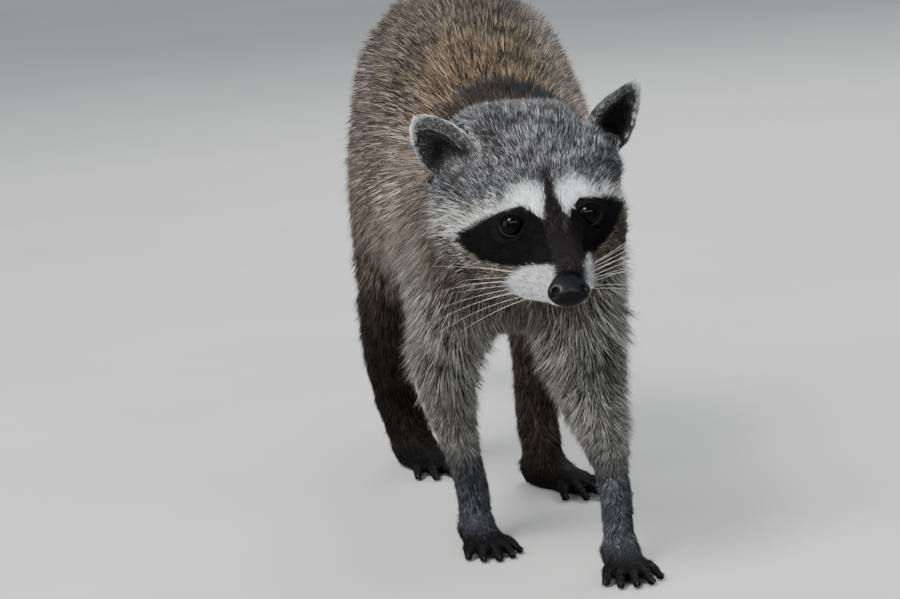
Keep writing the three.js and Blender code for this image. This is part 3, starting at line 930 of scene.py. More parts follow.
def grouped(on):
    """Adds the sums that the coat and the markings are worked out from."""
    on["fore"] = sum(on[node] for node in FORELEGS + PAWS[:2])
    on["hind"] = sum(on[node] for node in HINDLEGS + PAWS[2:])
    on["ear"] = on["ear_left"] + on["ear_right"]
    on["head"] = on["head"] + on["jaw"]
    return on


def kind_weights(places, normals, on):
    """How much of each kind of coat grows at each place."""
    x, y, z = (places / MM).T
    u, w, v = head.read(places)
    side = np.abs(u)
    skull = on["head"]
    muzzle = 1 - ramp(w, -42, -6)
    throat = (1 - ramp(v, -42, -26)) * ramp(w, -14, 22)
    cheek = np.maximum(ramp(side, 28, 46) * ramp(w, 8, 34) * (1 - ramp(v, 2, 26)), throat)
    crown = ramp(w, -3, 32) * (1 - cheek)
    brow = np.clip(1 - muzzle - cheek - crown, 0, 1)
    top = ramp(normals[:, 2], -0.1, 0.6)
    front = ramp(-y, 130, 200) * (1 - ramp(z, 220, 255))
    upper_arm = ramp(z, 45, 125)
    upper_thigh = ramp(z, 48, 135)
    ankle = ramp(z, 4, 22)
    body = on["trunk"] + on["neck"]
    parts = {
        "muzzle": skull * muzzle,
        "brow": skull * brow,
        "crown": skull * crown,
        "cheek": skull * cheek,
        "ear": on["ear"],
        "neck": body * front,
        "back": body * (1 - front) * top,
        "flank": body * (1 - front) * (1 - top),
        "thigh": on["hind"] * upper_thigh,
        "shank": on["hind"] * (1 - upper_thigh) * ankle,
        "arm": on["fore"] * upper_arm,
        "wrist": on["fore"] * (1 - upper_arm) * ankle,
        "paw": (on["fore"] + on["hind"]) * (1 - ankle),
        "tail": on["tail"],
    }
    weights = np.stack([parts[kind] for kind in KINDS], axis=1)
    return weights / np.maximum(weights.sum(1, keepdims=True), 1e-6)


def paw_heading(node):
    """The way a paw points on the floor, from its wrist to its toes."""
    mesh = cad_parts[node].data
    places = array_of(mesh.vertices, "co", 3)
    wrist = places[places[:, 2] > places[:, 2].max() - 0.004].mean(0)
    toes = places[places[:, 1] < places[:, 1].min() + 0.012].mean(0)
    heading = toes - wrist
    heading[2] = 0
    return heading / np.linalg.norm(heading), wrist, toes


def tail_direction(places):
    """The way the tail runs at each place, from slices of its solid."""
    corners = array_of(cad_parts["tail"].data.vertices, "co", 3)
    start, end = tail_length()
    cuts = np.linspace(start, end, 9)
    line = []
    for low, high in zip(cuts[:-1], cuts[1:]):
        line.append(corners[(corners[:, 1] >= low) & (corners[:, 1] <= high)].mean(0))
    line = np.array(line)
    heading = unit(np.gradient(line, axis=0))
    return np.stack([np.interp(places[:, 1], line[:, 1], column) for column in heading.T], axis=1)


def lie_of_coat(hide, normals, on, kinds):
    """The way the hair points at each vertex, in the surface."""
    places = hide.places
    x, y, z = (places / MM).T
    u, w, v = head.read(places)
    sign = np.sign(x + 1e-9)
    weight = {kind: kinds[:, number][:, None] for number, kind in enumerate(KINDS)}

    def toward(a, b, c):
        columns = np.broadcast_arrays(a, b, c, x)[:3]
        return unit(np.stack(columns, axis=1))

    nose_low, nose_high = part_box("nose")
    nose_top = np.array([(nose_low[0] + nose_high[0]) / 2, nose_low[1], nose_high[2] - 0.004])
    from_nose = unit(places - nose_top)
    lie = (weight["muzzle"] + weight["brow"] + weight["crown"]) * from_nose
    lie += weight["cheek"] * unit(from_nose + toward(0.35 * sign, 0.5, -0.35))
    for node in EARS:
        pose = EarPose(node)
        root = pose.middle - (24 * pose.along + 6 * pose.across) * MM
        lie += on[node][:, None] * unit(places - root)
    chest_down = ramp(-y, 175, 215)
    lie += weight["neck"] * toward(0.22 * sign, 0.75 - 0.6 * chest_down, -0.55 - 0.5 * chest_down)
    lie += weight["back"] * toward(0.10 * sign, 1.0, -0.15)
    under = 1 - ramp(normals[:, 2], -0.9, -0.4)
    lie += weight["flank"] * toward(0, 0.9, -0.55 * (1 - under))
    lie += weight["thigh"] * toward(0, 0.45, -0.9)
    lie += weight["shank"] * toward(0, 0.12, -1.0)
    for node in FORELEGS:
        centre = np.array(leg_line(node, z))
        parted = np.clip((x - centre[0]) / 12, -1, 1)
        down = toward(0.45 * parted, 0.42, -0.85)
        lie += on[node][:, None] * down
    for node in PAWS:
        heading = paw_heading(node)[0]
        drop = 0.45 + 1.6 * ramp(z, 12, 36)
        lie += on[node][:, None] * unit(heading - drop[:, None] * [0, 0, 1])
    lie += weight["tail"] * tail_direction(places)
    for node in EYES:
        centre = np.array(middle(node))
        near = 0.6 * (1 - ramp(np.linalg.norm(places - centre, axis=1) / MM, 9, 14))
        lie = lie * (1 - near[:, None]) + near[:, None] * unit(places - centre)
    lie = flattened(lie, normals)
    for _ in range(10):
        lie = flattened(hide.spread(lie, 2), normals)
    return lie


def leg_line(node, z):
    """The middle of a leg, across and fore and aft, in millimetres at each height."""
    corners = array_of(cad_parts[node].data.vertices, "co", 3) / MM
    cuts = np.linspace(corners[:, 2].min(), corners[:, 2].max(), 9)
    rows = []
    for low, high in zip(cuts[:-1], cuts[1:]):
        inside = corners[(corners[:, 2] >= low - 6) & (corners[:, 2] <= high + 6)]
        rows.append(inside.mean(0))
    rows = np.array(rows)
    return np.interp(z, rows[:, 2], rows[:, 0]), np.interp(z, rows[:, 2], rows[:, 1])


class EyeSocket:
    """One eye: its middle, radius and the way it looks, and the shape of its opening."""

    def __init__(self, node, sizes):
        self.centre = np.array(middle(node))
        self.radius = half_size(node).x
        sign = 1 if node == "eye_left" else -1
        turn = sign * sizes.eye_outward - sizes.gaze
        level = math.cos(sizes.eye_upward)
        self.forward = np.array([math.sin(turn) * level, -math.cos(turn) * level, math.sin(sizes.eye_upward)])
        tilt = math.radians(9) * sign
        across = np.cross([0, 0, 1], self.forward)
        across /= np.linalg.norm(across)
        up = np.cross(self.forward, across)
        self.across = across * math.cos(tilt) + up * math.sin(tilt)
        self.up = up * math.cos(tilt) - across * math.sin(tilt)
        self.width, self.height = math.sin(sizes.lid_width), math.sin(sizes.lid_height)

    def opening(self, places):
        """Distance from the eye's middle, and how far out of its opening: 1 at the lids' edge."""
        offset = places - self.centre
        away = np.linalg.norm(offset, axis=1)
        look = offset / away[:, None]
        up = look @ self.up
        out = np.hypot(look @ self.across / self.width, up / (self.height * np.where(up > 0, 0.9, 1)))
        near = 1 - ramp(away / self.radius, 1.45, 1.8)
        out = np.where(look @ self.forward > 0, out, 9.0)
        return away, out * near + 9.0 * (1 - near)

    def rim(self, count, above, below):
        """Points round the edge of the lids, which stand this far off the eyeball above and below."""
        turns = np.linspace(0, 2 * math.pi, count, endpoint=False)
        side, up = self.width * np.cos(turns), self.height * np.sin(turns)
        up = np.where(up > 0, 0.9, 1) * up
        front = np.sqrt(np.maximum(1 - side**2 - up**2, 0))
        rows = side[:, None] * self.across + up[:, None] * self.up + front[:, None] * self.forward
        lift = below + (above - below) * (np.sin(turns) + 1) / 2
        return self.centre + rows * (self.radius + lift)[:, None]


def carve_lids(hide, sockets, sizes):
    """Opens the lids over each eyeball and lays the skin round them."""
    for socket in sockets:
        away, out = socket.opening(hide.places)
        lid = socket.radius + sizes.lid_thickness
        sunk = socket.radius - 0.0014
        target = sunk + (lid - sunk) * ramp(out, 0.93, 1.06)
        outer = ramp(out, 1.10, 1.55)
        target = target * (1 - outer) + away * outer
        hide.places = socket.centre + (hide.places - socket.centre) * (target / away)[:, None]


def claw_tips(node, count=5, apart=0.006):
    """The claws' points: the corners of a paw that reach furthest, each well away from the others."""
    heading, wrist, toes = paw_heading(node)
    corners = array_of(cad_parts[node].data.vertices, "co", 3)
    corners = corners[corners[:, 2] < 0.016]
    reach = np.linalg.norm((corners - wrist)[:, :2], axis=1)
    ahead = (corners - wrist) @ heading
    left = ahead > 0.3 * ahead.max()
    tips = []
    while len(tips) < count and left.any():
        best = np.argmax(np.where(left, reach, -1))
        tips.append(corners[best])
        left &= np.linalg.norm(corners - corners[best], axis=1) > apart
    return [(tip, unit((tip - wrist)[None, :] * [1, 1, 0])[0]) for tip in tips]


def without_claws(part, node, sizes):
    """Draws a paw's claws back into its toes, because the claws are pieces of their own."""
    limit = -sizes.claw_show
    for tip, heading in claw_tips(node):
        for vertex in part.verts:
            offset = np.array(vertex.co) - tip
            ahead = offset @ heading
            sideways = np.linalg.norm(offset - ahead * heading)
            if sideways < 0.0022 and limit < ahead < 0.002:
                vertex.co += Vector(heading * (limit - ahead))


def toe_balls(tip, heading, sizes):
    """The round end of one toe, as three balls that shrink towards its claw."""
    bm = bmesh.new()
    for number in range(3):
        radius = sizes.toe * (1 + 0.06 * number)
        place = Vector(tip - heading * (sizes.claw_show + sizes.toe * (0.85 + 1.3 * number)))
        place.z = radius + 0.0014 * number
        bmesh.ops.create_icosphere(bm, subdivisions=2, radius=radius, matrix=Matrix.Translation(place))
    return bm


def fine_face(mesh, sockets):
    """Divides the faces round the eyes until the lids can be drawn."""
    bm = bmesh.new()
    bm.from_mesh(mesh)
    for reach in (13, 11):
        chosen = set()
        for socket in sockets:
            centre = Vector(socket.centre)
            for vertex in bm.verts:
                if (vertex.co - centre).length < reach * MM:
                    chosen.update(vertex.link_edges)
        bmesh.ops.subdivide_edges(bm, edges=list(chosen), cuts=1, use_grid_fill=True)
        bmesh.ops.triangulate(bm, faces=[face for face in bm.faces if len(face.verts) > 3])
    out = bpy.data.meshes.new("skin")
    bm.to_mesh(out)
    bm.free()
    return out


def near_ears(places):
    """1 on the ears and close to them, and 0 from 14 mm away."""
    corners = np.concatenate([corners_of(node) for node in EARS])
    tree = kdtree.KDTree(len(corners))
    for number, corner in enumerate(corners):
        tree.insert(corner, number)
    tree.balance()
    away = np.array([tree.find(place)[2] for place in places.tolist()])
    return 1 - ramp(away / MM, 5, 14)


def shape_muzzle(hide, on):
    """Draws in the muzzle's left side, where the head turns away."""
    u, w, v = head.read(hide.places)
    take = on["head"] * ramp(u, 8, 20) * (1 - ramp(w, -16, 4)) * (1 - ramp(v, -16, -8))
    hide.places[:, 0] -= take * 5 * MM


def round_muzzle(hide, on):
    """Rounds the muzzle's blunt end off, all round the nose."""
    u, w, v = head.read(hide.places)
    nose_u, nose_w, nose_v = head.read(np.array([middle("nose")]))
    away = np.hypot(u - nose_u, (v - nose_v) / 0.85)
    back = (0.06 * np.maximum(away - 7, 0) ** 2).clip(0, 4.5) * on["head"] * ramp(-w, 22, 48)
    back *= 1 - ramp(v - nose_v, 0, 8)
    hide.places[:, 1] += back * MM


def fill_temple(hide, on):
    """Fills out the left temple, before and below the ear."""
    u, w, v = head.read(hide.places)
    give = on["head"] * ramp(u, 18, 36) * ramp(v, 6, 24) * (1 - ramp(v, 38, 52))
    give *= ramp(w, -8, 16) * (1 - ramp(w, 52, 70))
    hide.places += give[:, None] * np.array([7.5, 0.0, 1.0]) * MM


def smooth_ankles(hide, on):
    """Smooths the steps where the legs meet the paws."""
    z = hide.places[:, 2] / MM
    soft = (on["fore"] + on["hind"]) * ramp(z, 13, 20) * (1 - ramp(z, 44, 60))
    for _ in range(36):
        hide.places += (0.6 * soft)[:, None] * (hide.neighbours(hide.places) - hide.places)


def shape_ears(hide, on):
    """Draws the left ear, which is turned outwards, to a point."""
    pose = EarPose("ear_left")
    outward, height = pose.reach(hide.places)[1:3]
    take = on["ear_left"] * ramp(height, -0.1, 1.0)
    slide = 3.0 * take - 2.5 * take * outward
    hide.places += (slide[:, None] * pose.across + 2 * take[:, None] * pose.along) * MM


def raise_chin(hide, on, sizes):
    """Draws the chin up behind the nose."""
    u, w, v = head.read(hide.places)
    below = np.maximum(-v - sizes.chin / MM + 3, 0)
    lift = on["head"] * (1 - ramp(w, -5, 28)) * below * 0.62
    hide.places[:, 2] += lift * MM


def reshape(hide, sizes):
    """Smooths the joined solids, shapes them further, and sinks them by the coat's depth."""
    on = shares(hide, nearest_nodes(hide.places), 6)
    by_ear = near_ears(hide.places)
    kinds = kind_weights(hide.places, hide.normals(), on)
    soft = kinds @ COAT_TABLE[:, SOFT] * (1 - 0.8 * by_ear)
    for _ in range(SMOOTH_STEPS):
        hide.places += (0.62 * soft)[:, None] * (hide.neighbours(hide.places) - hide.places)
    raise_chin(hide, on, sizes)
    shape_muzzle(hide, on)
    round_muzzle(hide, on)
    fill_temple(hide, on)
    smooth_ankles(hide, on)
    shape_ears(hide, on)
    normals = hide.normals()
    depth = kind_weights(hide.places, normals, on) @ COAT_TABLE[:, DEPTH]
    depth -= CROWN_RAISE * on["head"] * ramp(normals[:, 2], 0.45, 0.85) * (1 - by_ear)
    depth = hide.spread(depth, 12) * MM
    for _ in range(SINK_STEPS):
        hide.places -= hide.normals() * (depth / SINK_STEPS)[:, None]
        hide.places += (0.4 * soft)[:, None] * (hide.neighbours(hide.places) - hide.places)
    hide.write()


def cut_details(hide, on, sockets, sizes):
    """Cuts the mouth, the lids and the grooves between the toes. Gives where the lips are."""
    w = head.read(hide.places)[1]
    lips = 4 * on["jaw"] * np.clip(on["head"] - on["jaw"], 0, 1)
    lips = ramp(lips, 0.55, 1.0) * (1 - ramp(w, 2, 16))
    hide.places -= hide.normals() * (lips * sizes.mouth_depth)[:, None]
    carve_lids(hide, sockets, sizes)
    between = toe_lines(hide.places)[1]
    hide.places -= hide.normals() * (between * sizes.toe_groove)[:, None]
    return lips


def keep_coat_on(mesh, hide, label, sockets, lips):
    """Notes on the skin how the coat grows at each vertex, and in which colours."""
    normals = hide.normals()
    on = shares(hide, label, 14)
    kinds = kind_weights(hide.places, normals, on)
    table = hide.spread(kinds @ COAT_TABLE, 12)
    table[:, LENGTH] *= 1 - 0.45 * near_ears(hide.places) * on["head"]
    table[:, LENGTH] *= 1 - 0.35 * np.maximum(*toe_lines(hide.places))
    bare = lips
    for socket in sockets:
        away = np.linalg.norm(hide.places - socket.centre, axis=1) / MM
        table[:, LENGTH] *= 0.45 + 0.55 * ramp(away, 9, 13)
        bare = np.maximum(bare, 1 - ramp(socket.opening(hide.places)[1], 1.04, 1.12))
    for number, name in KEPT_COLUMNS.items():
        keep_on(mesh, name, table[:, number])
    keep_on(mesh, "lie", lie_of_coat(hide, normals, on, kinds))
    keep_on(mesh, "bare", bare)
    keep_on(mesh, "coat_piece", piece_numbers(hide, normals, label))
    tones = markings(hide.places, normals, on) @ TONE_TABLE
    # painted shade: the skin takes mostly the dark root colour, standing for the shade deep in the coat
    # between the tufts
    colour = 0.75 * tones[:, ROOT_TONE] + 0.25 * tones[:, BAND_TONE]
    keep_on(mesh, "skin_tone", colour * (1 - bare[:, None]) + np.array(BARE) * bare[:, None])
    for node in FLESH:
        keep_on(mesh, "on_" + node, on[node] if node != "head" else on["head"] - on["jaw"])


class RACCOON_OT_skin(bpy.types.Operator):
    """Makes the one skin that lies under the coat, and notes on it how the coat grows"""

    bl_idname = "raccoon.skin"
    bl_label = "Skin"

    def execute(self, context):
        sizes = context.scene.raccoon_skin
        mesh = thinned(joined_flesh(sizes), sizes.faces)
        reshape(Hide(mesh), sizes)
        sockets = [EyeSocket(node, sizes) for node in EYES]
        mesh = fine_face(mesh, sockets)
        hide = Hide(mesh)
        label = nearest_nodes(hide.places)
        lips = cut_details(hide, shares(hide, label, 10), sockets, sizes)
        keep_coat_on(mesh, hide, label, sockets, lips)
        piece = object_from(mesh, "skin")
        mesh.materials.append(skin_finish())
        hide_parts(*FLESH)
        return {"FINISHED"}


# ---------------------------------------------------------------- the coat

# Each piece of the coat: how many tufts it has, the rings between a tuft's root and tip, and its slot.
COAT_PIECES = {
    "coat_face": (48000, 0, "coat_face"),
    "coat_crown": (48000, 0, "coat_face"),
    "coat_neck": (48000, 0, "coat_body"),
    "coat_back": (48000, 0, "coat_body"),
    "coat_flanks": (44000, 0, "coat_body"),
    "coat_forelegs": (48000, 0, "coat_legs"),
    "coat_hindlegs": (36000, 0, "coat_legs"),
    "coat_tail": (22000, 1, "coat_tail"),
    "coat_paws": (22000, 0, "paws"),
}
PIECE_NAMES = tuple(COAT_PIECES)
STRANDS = {"coat_crown": 0.45, "coat_back": 0.65, "coat_flanks": 0.5}  # the part of tufts in strands


def piece_numbers(hide, normals, label):
    """Which piece of the coat grows at each vertex."""
    x, y, z = (hide.places / MM).T
    w = head.read(hide.places)[1]
    node = np.array(FLESH)[label]
    number = np.full(hide.count, PIECE_NAMES.index("coat_flanks"), float)

    def give(name, where):
        number[where] = PIECE_NAMES.index(name)

    trunk, skull = node == "trunk", (node == "head") | (node == "jaw")
    give("coat_back", trunk & (normals[:, 2] > 0.25))
    give("coat_neck", (node == "neck") | (trunk & (y < -175)) | (trunk & (y < -130) & (z < 200)))
    give("coat_face", skull & (w < 22))
    give("coat_crown", (skull & (w >= 22)) | np.isin(node, EARS))
    give("coat_forelegs", np.isin(node, FORELEGS))
    give("coat_hindlegs", np.isin(node, HINDLEGS))
    give("coat_tail", node == "tail")
    give("coat_paws", np.isin(node, PAWS))
    return number


def scalp_of(skin, number):
    """The part of the skin that one piece of the coat grows from, unwrapped by itself."""
    numbers = kept_on(skin.data, "coat_piece")
    bm = bmesh.new()
    bm.from_mesh(skin.data)
    bm.verts.ensure_lookup_table()
    strangers = [face for face in bm.faces if round(numbers[face.verts[0].index]) != number]
    bmesh.ops.delete(bm, geom=strangers, context="FACES")
    bmesh.ops.triangulate(bm, faces=bm.faces)
    mesh = bpy.data.meshes.new("scalp")
    bm.to_mesh(mesh)
    bm.free()
    holder = bpy.data.objects.new("scalp", mesh)
    bpy.context.scene.collection.objects.link(holder)
    for other in bpy.context.selected_objects:
        other.select_set(False)
    bpy.context.view_layer.objects.active = holder
    holder.select_set(True)
    bpy.ops.object.mode_set(mode="EDIT")
    bpy.ops.mesh.select_all(action="SELECT")
    bpy.ops.uv.smart_project(angle_limit=math.radians(66), island_margin=0.004)
    bpy.ops.object.mode_set(mode="OBJECT")
    bpy.data.objects.remove(holder)
    return mesh


class Roots:
    """Where the tufts of one piece grow, and all that the skin says there."""

    def __init__(self, mesh, count, random):
        corners = array_of(mesh.vertices, "co", 3)
        normals = array_of(mesh.vertex_normals, "vector", 3)
        faces = array_of(mesh.loops, "vertex_index", 1, np.int32).reshape(-1, 3)
        maps = array_of(mesh.uv_layers.active.uv, "vector", 2).reshape(-1, 3, 2)
        a, b, c = (corners[faces[:, i]] for i in range(3))
        area = np.linalg.norm(np.cross(b - a, c - a), axis=1) / 2
        size = kept_on(mesh, "hair_length") * kept_on(mesh, "hair_width")
        hairy = 1 - kept_on(mesh, "bare")
        weight = area * (hairy / size)[faces].mean(1)
        total = np.cumsum(weight)
        spots = (np.arange(count) + random.random(count)) / count * total[-1]
        self.face = np.searchsorted(total, spots).clip(0, len(faces) - 1)
        self.corner = faces[self.face]
        r, s = np.sqrt(random.random(count)), random.random(count)
        self.share = np.stack([1 - r, r * (1 - s), r * s], axis=1)
        self.mesh = mesh
        self.place = self.of(corners)
        self.normal = unit(self.of(normals))
        self.lie = flattened(self.of(kept_on(mesh, "lie")), self.normal)
        self.map = (maps[self.face] * self.share[:, :, None]).sum(1)
        self.count = count

    def of(self, field):
        """A field of the skin, read at the roots."""
        picked = field[self.corner]
        share = self.share if field.ndim == 1 else self.share[:, :, None]
        return (picked * share).sum(1)

    def read(self, name):
        return self.of(kept_on(self.mesh, name))


def waves(places, wavelength, random, count=6):
    """Smooth random numbers over space, about -1 to 1."""
    total = np.zeros(len(places))
    for _ in range(count):
        heading = random.normal(size=3)
        heading /= np.linalg.norm(heading)
        rate = 2 * math.pi / wavelength * random.uniform(0.7, 1.5)
        total += np.sin(places @ heading * rate + random.uniform(0, 2 * math.pi))
    return total / math.sqrt(count)


def gathered(tips, roots, lock, spacing, random):
    """Draws tufts' tips together into locks."""
    count = max(8, int(len(roots.place) / 9))
    seeds = random.choice(len(roots.place), count, replace=False)
    tree = kdtree.KDTree(count)
    for number, seed in enumerate(seeds):
        tree.insert(roots.place[seed], number)
    tree.balance()
    nearest = np.array([tree.find(place)[1] for place in roots.place.tolist()])
    chosen = seeds[nearest]
    gap = np.linalg.norm(roots.place - roots.place[chosen], axis=1)
    pull = lock * (1 - ramp(gap, spacing * 0.7, spacing * 1.6))
    return tips + pull[:, None] * (tips[chosen] - tips) * 0.8


def strand_kinds(roots, shared_part, random):
    """Random numbers, which part of the tufts share with their near neighbours, so that strands show."""
    seeds = random.choice(roots.count, roots.count // 3, replace=False)
    tree = kdtree.KDTree(len(seeds))
    for number, seed in enumerate(seeds):
        tree.insert(roots.place[seed], number)
    tree.balance()
    nearest = np.array([tree.find(place)[1] for place in roots.place.tolist()])
    shared = random.random(len(seeds))[nearest]
    own = random.random(roots.count)
    return np.where(random.random(roots.count) < shared_part, shared, own)


def tuft_template(rings):
    """A slim three-sided tuft: the ring and the turn round its axis of each corner, and its faces."""
    bm = bmesh.new()
    if rings:
        bmesh.ops.create_uvsphere(bm, u_segments=3, v_segments=rings + 1, radius=1)
    else:
        bmesh.ops.create_cone(bm, cap_ends=True, segments=3, radius1=1, radius2=0, depth=2)
    bmesh.ops.remove_doubles(bm, verts=bm.verts, dist=1e-4)
    bmesh.ops.triangulate(bm, faces=bm.faces)
    bmesh.ops.recalc_face_normals(bm, faces=bm.faces)
    bm.verts.index_update()
    places = np.array([vertex.co[:] for vertex in bm.verts])
    faces = np.array([[vertex.index for vertex in face.verts] for face in bm.faces])
    bm.free()
    level = np.round((places[:, 2] + 1) / 2 * 12).astype(int)
    steps = np.unique(level)
    ring = np.searchsorted(steps, level)
    turn = np.arctan2(places[:, 1], places[:, 0])
    return ring, turn, faces


RING_ALONG = {0: (0.0, 1.0), 1: (0.0, 0.38, 1.0)}
RING_WIDTH = {0: (1.0, 0.0), 1: (0.0, 1.0, 0.0)}
OVER_FLOOR = 0.0008  # height of the lowest tufts' middles, in metres
ROOT_DEPTH = 0.0004  # how deep a tuft's root sits in the skin, in metres
BROAD_WAVE, CLOSE_WAVE = 0.030, 0.009  # lengths of the coat's slow and quick changes, in metres


def tuft_lines(roots, length, rise, turn, along, lock, spacing, random):
    """The tufts' middles at each share of their length, and the way across each tuft."""
    across = np.cross(roots.normal, roots.lie)
    heading = roots.lie * np.cos(turn)[:, None] + across * np.sin(turn)[:, None]
    line = [roots.place - roots.normal * ROOT_DEPTH]
    for start, end in zip(along[:-1], along[1:]):
        angle = (rise * (1.3 - 0.3 * (start + end))).clip(0.03, 1.3)
        ahead = heading * np.cos(angle)[:, None] + roots.normal * np.sin(angle)[:, None]
        line.append(line[-1] + ahead * (length * (end - start))[:, None])
    drawn = gathered(line[-1], roots, lock, spacing, random) - line[-1]
    line = [spot + drawn * share**1.5 for spot, share in zip(line, along)]
    for spot in line:
        spot[:, 2] = spot[:, 2].clip(OVER_FLOOR)
    return line, np.cross(roots.normal, heading)


def tuft_tones(roots, name, drift, random):
    """Each tuft's row of colours: a mix of its place's tones, or one picked from them."""
    slot = COAT_PIECES[name][2]
    stray = random.normal(0, 0.0004 if name == "coat_face" else 0.0007, (roots.count, 3))
    on = grouped({node: roots.read("on_" + node) for node in FLESH})
    weights = markings(roots.place + stray, roots.normal, on)
    picky = np.where(on["ear"] > 0.5, 0.1, 0.6 if slot == "coat_face" else 0.3)[:, None]
    tones = ((1 - picky) * weights + picky * picked(weights, random)) @ TONE_TABLE
    plain = tones[:, DARK_SHARE] / 0.36
    kind = strand_kinds(roots, STRANDS.get(name, 0.3), random)
    return mottled(tones, drift * plain, kind)


def keep_bake_map(mesh, triangles, roots, patch):
    """Gives each tuft a small patch of its own, at its root's place on the skin's unwrap."""
    spots = (patch[None, :, :] + roots.map[:, None, :]).reshape(-1, 2)
    layer = mesh.uv_layers.new(name="OFBake")
    layer.uv.foreach_set("vector", spots[triangles.ravel()].astype(np.float32).ravel())


def grow_coat(skin, name, sizes, material, random):
    """Grows one piece of the coat on its part of the skin."""
    count, rings, slot = COAT_PIECES[name]
    scalp = scalp_of(skin, PIECE_NAMES.index(name))
    roots = Roots(scalp, count, random)
    grain = random.random(count)
    broad = waves(roots.place, BROAD_WAVE, random)
    close = waves(roots.place, CLOSE_WAVE, random)
    length = roots.read("hair_length") * MM * sizes.length
    length = length * (1 + 0.10 * broad + 0.06 * close) * random.uniform(0.72, 1.18, count)
    width = roots.read("hair_width") * MM * sizes.width * random.uniform(0.75, 1.25, count)
    lock = roots.read("hair_lock")
    rise = np.radians(roots.read("hair_rise")) * sizes.rise * (1 + 0.22 * close + 0.12 * broad)
    rise = rise + np.radians(random.normal(0, 4, count)) * (1 + 2.5 * lock)
    turn = 0.10 * broad + 0.16 * close + random.normal(0, 0.11, count) * (1 + 1.8 * lock)
    along = RING_ALONG[rings]
    line, across = tuft_lines(roots, length, rise, turn, along, lock, sizes.clump, random)

    ring, around, faces = tuft_template(rings)
    ring_width = np.array(RING_WIDTH[rings])[ring]
    aside = np.cos(around) * ring_width * 0.5
    lifted = np.sin(around) * ring_width * 0.28
    corners = np.stack([line[r] for r in ring], axis=1)
    corners = corners + across[:, None, :] * (aside[None, :] * width[:, None])[:, :, None]
    corners = corners + roots.normal[:, None, :] * (lifted[None, :] * width[:, None])[:, :, None]
    tones = tuft_tones(roots, name, 0.22 * close + 0.16 * broad, random)

    mesh = bpy.data.meshes.new(name)
    per = len(ring)
    share = np.array(along)[ring]
    triangles = (faces[None, :, :] + (np.arange(count) * per)[:, None, None]).reshape(-1, 3)
    fill(mesh, corners.reshape(-1, 3), triangles)
    keep_on(mesh, "along", np.tile(share, count))
    keep_on(mesh, "grain", np.repeat(grain, per))
    for column, attribute in ((ROOT_TONE, "root_tone"), (BAND_TONE, "band_tone"), (TIP_TONE, "tip_tone")):
        keep_on(mesh, attribute, np.repeat(tones[:, column], per, axis=0))
    keep_bake_map(mesh, triangles, roots, np.stack([aside, share - 0.5], axis=1) * sizes.patch)
    bpy.data.meshes.remove(scalp)
    piece = object_from(mesh, name)
    mesh.materials.append(material)


def picked(weights, random):
    """Gives each tuft one of its tones, at random by their weights."""
    total = np.cumsum(weights, axis=1)
    spot = random.random(len(weights)) * total[:, -1]
    return np.eye(len(TONES))[(total < spot[:, None]).sum(1).clip(0, len(TONES) - 1)]


def mottled(tones, drift, kind):
    """Makes some tufts darker all through and some paler, as guard hairs are, and lets patches drift."""
    kind = kind[:, None]
    dark, pale, glow = tones[:, [DARK_SHARE]], tones[:, [PALE_SHARE]], tones[:, [GLOW]]
    colours = tones[:, :9]
    darker = colours * np.repeat([0.6, 0.20, 0.28], 3)
    brightest = np.maximum(colours[:, BAND_TONE], colours[:, TIP_TONE]) * 1.5 + glow
    paler = np.concatenate([colours[:, ROOT_TONE], brightest * 0.8, brightest], axis=1)
    colours = np.where(kind < dark, darker, np.where(kind > 1 - pale, paler, colours))
    return (colours * (1 + drift[:, None])).clip(0, 0.9)


def fill(mesh, corners, triangles):
    """Gives an empty mesh its corners and triangles."""
    mesh.vertices.add(len(corners))
    mesh.vertices.foreach_set("co", corners.astype(np.float32).ravel())
    mesh.loops.add(triangles.size)
    mesh.loops.foreach_set("vertex_index", triangles.astype(np.int32).ravel())
    mesh.polygons.add(len(triangles))
    mesh.polygons.foreach_set("loop_start", np.arange(0, triangles.size, 3, dtype=np.int32))
    mesh.update(calc_edges=True)
    mesh.validate()


class RACCOON_OT_coat(bpy.types.Operator):
    """Grows the coat from the skin, piece by piece"""

    bl_idname = "raccoon.coat"
    bl_label = "Coat"

    def execute(self, context):
        sizes = context.scene.raccoon_coat
        skin = bpy.data.objects["skin"]
        material = coat_finish()
        for number, name in enumerate(COAT_PIECES):
            grow_coat(skin, name, sizes, material, np.random.default_rng(sizes.seed + number))
        skin.data = thinned(skin.data, context.scene.raccoon_skin.last_faces)
        return {"FINISHED"}


# ---------------------------------------------------------------- eyes, nose, claws and whiskers

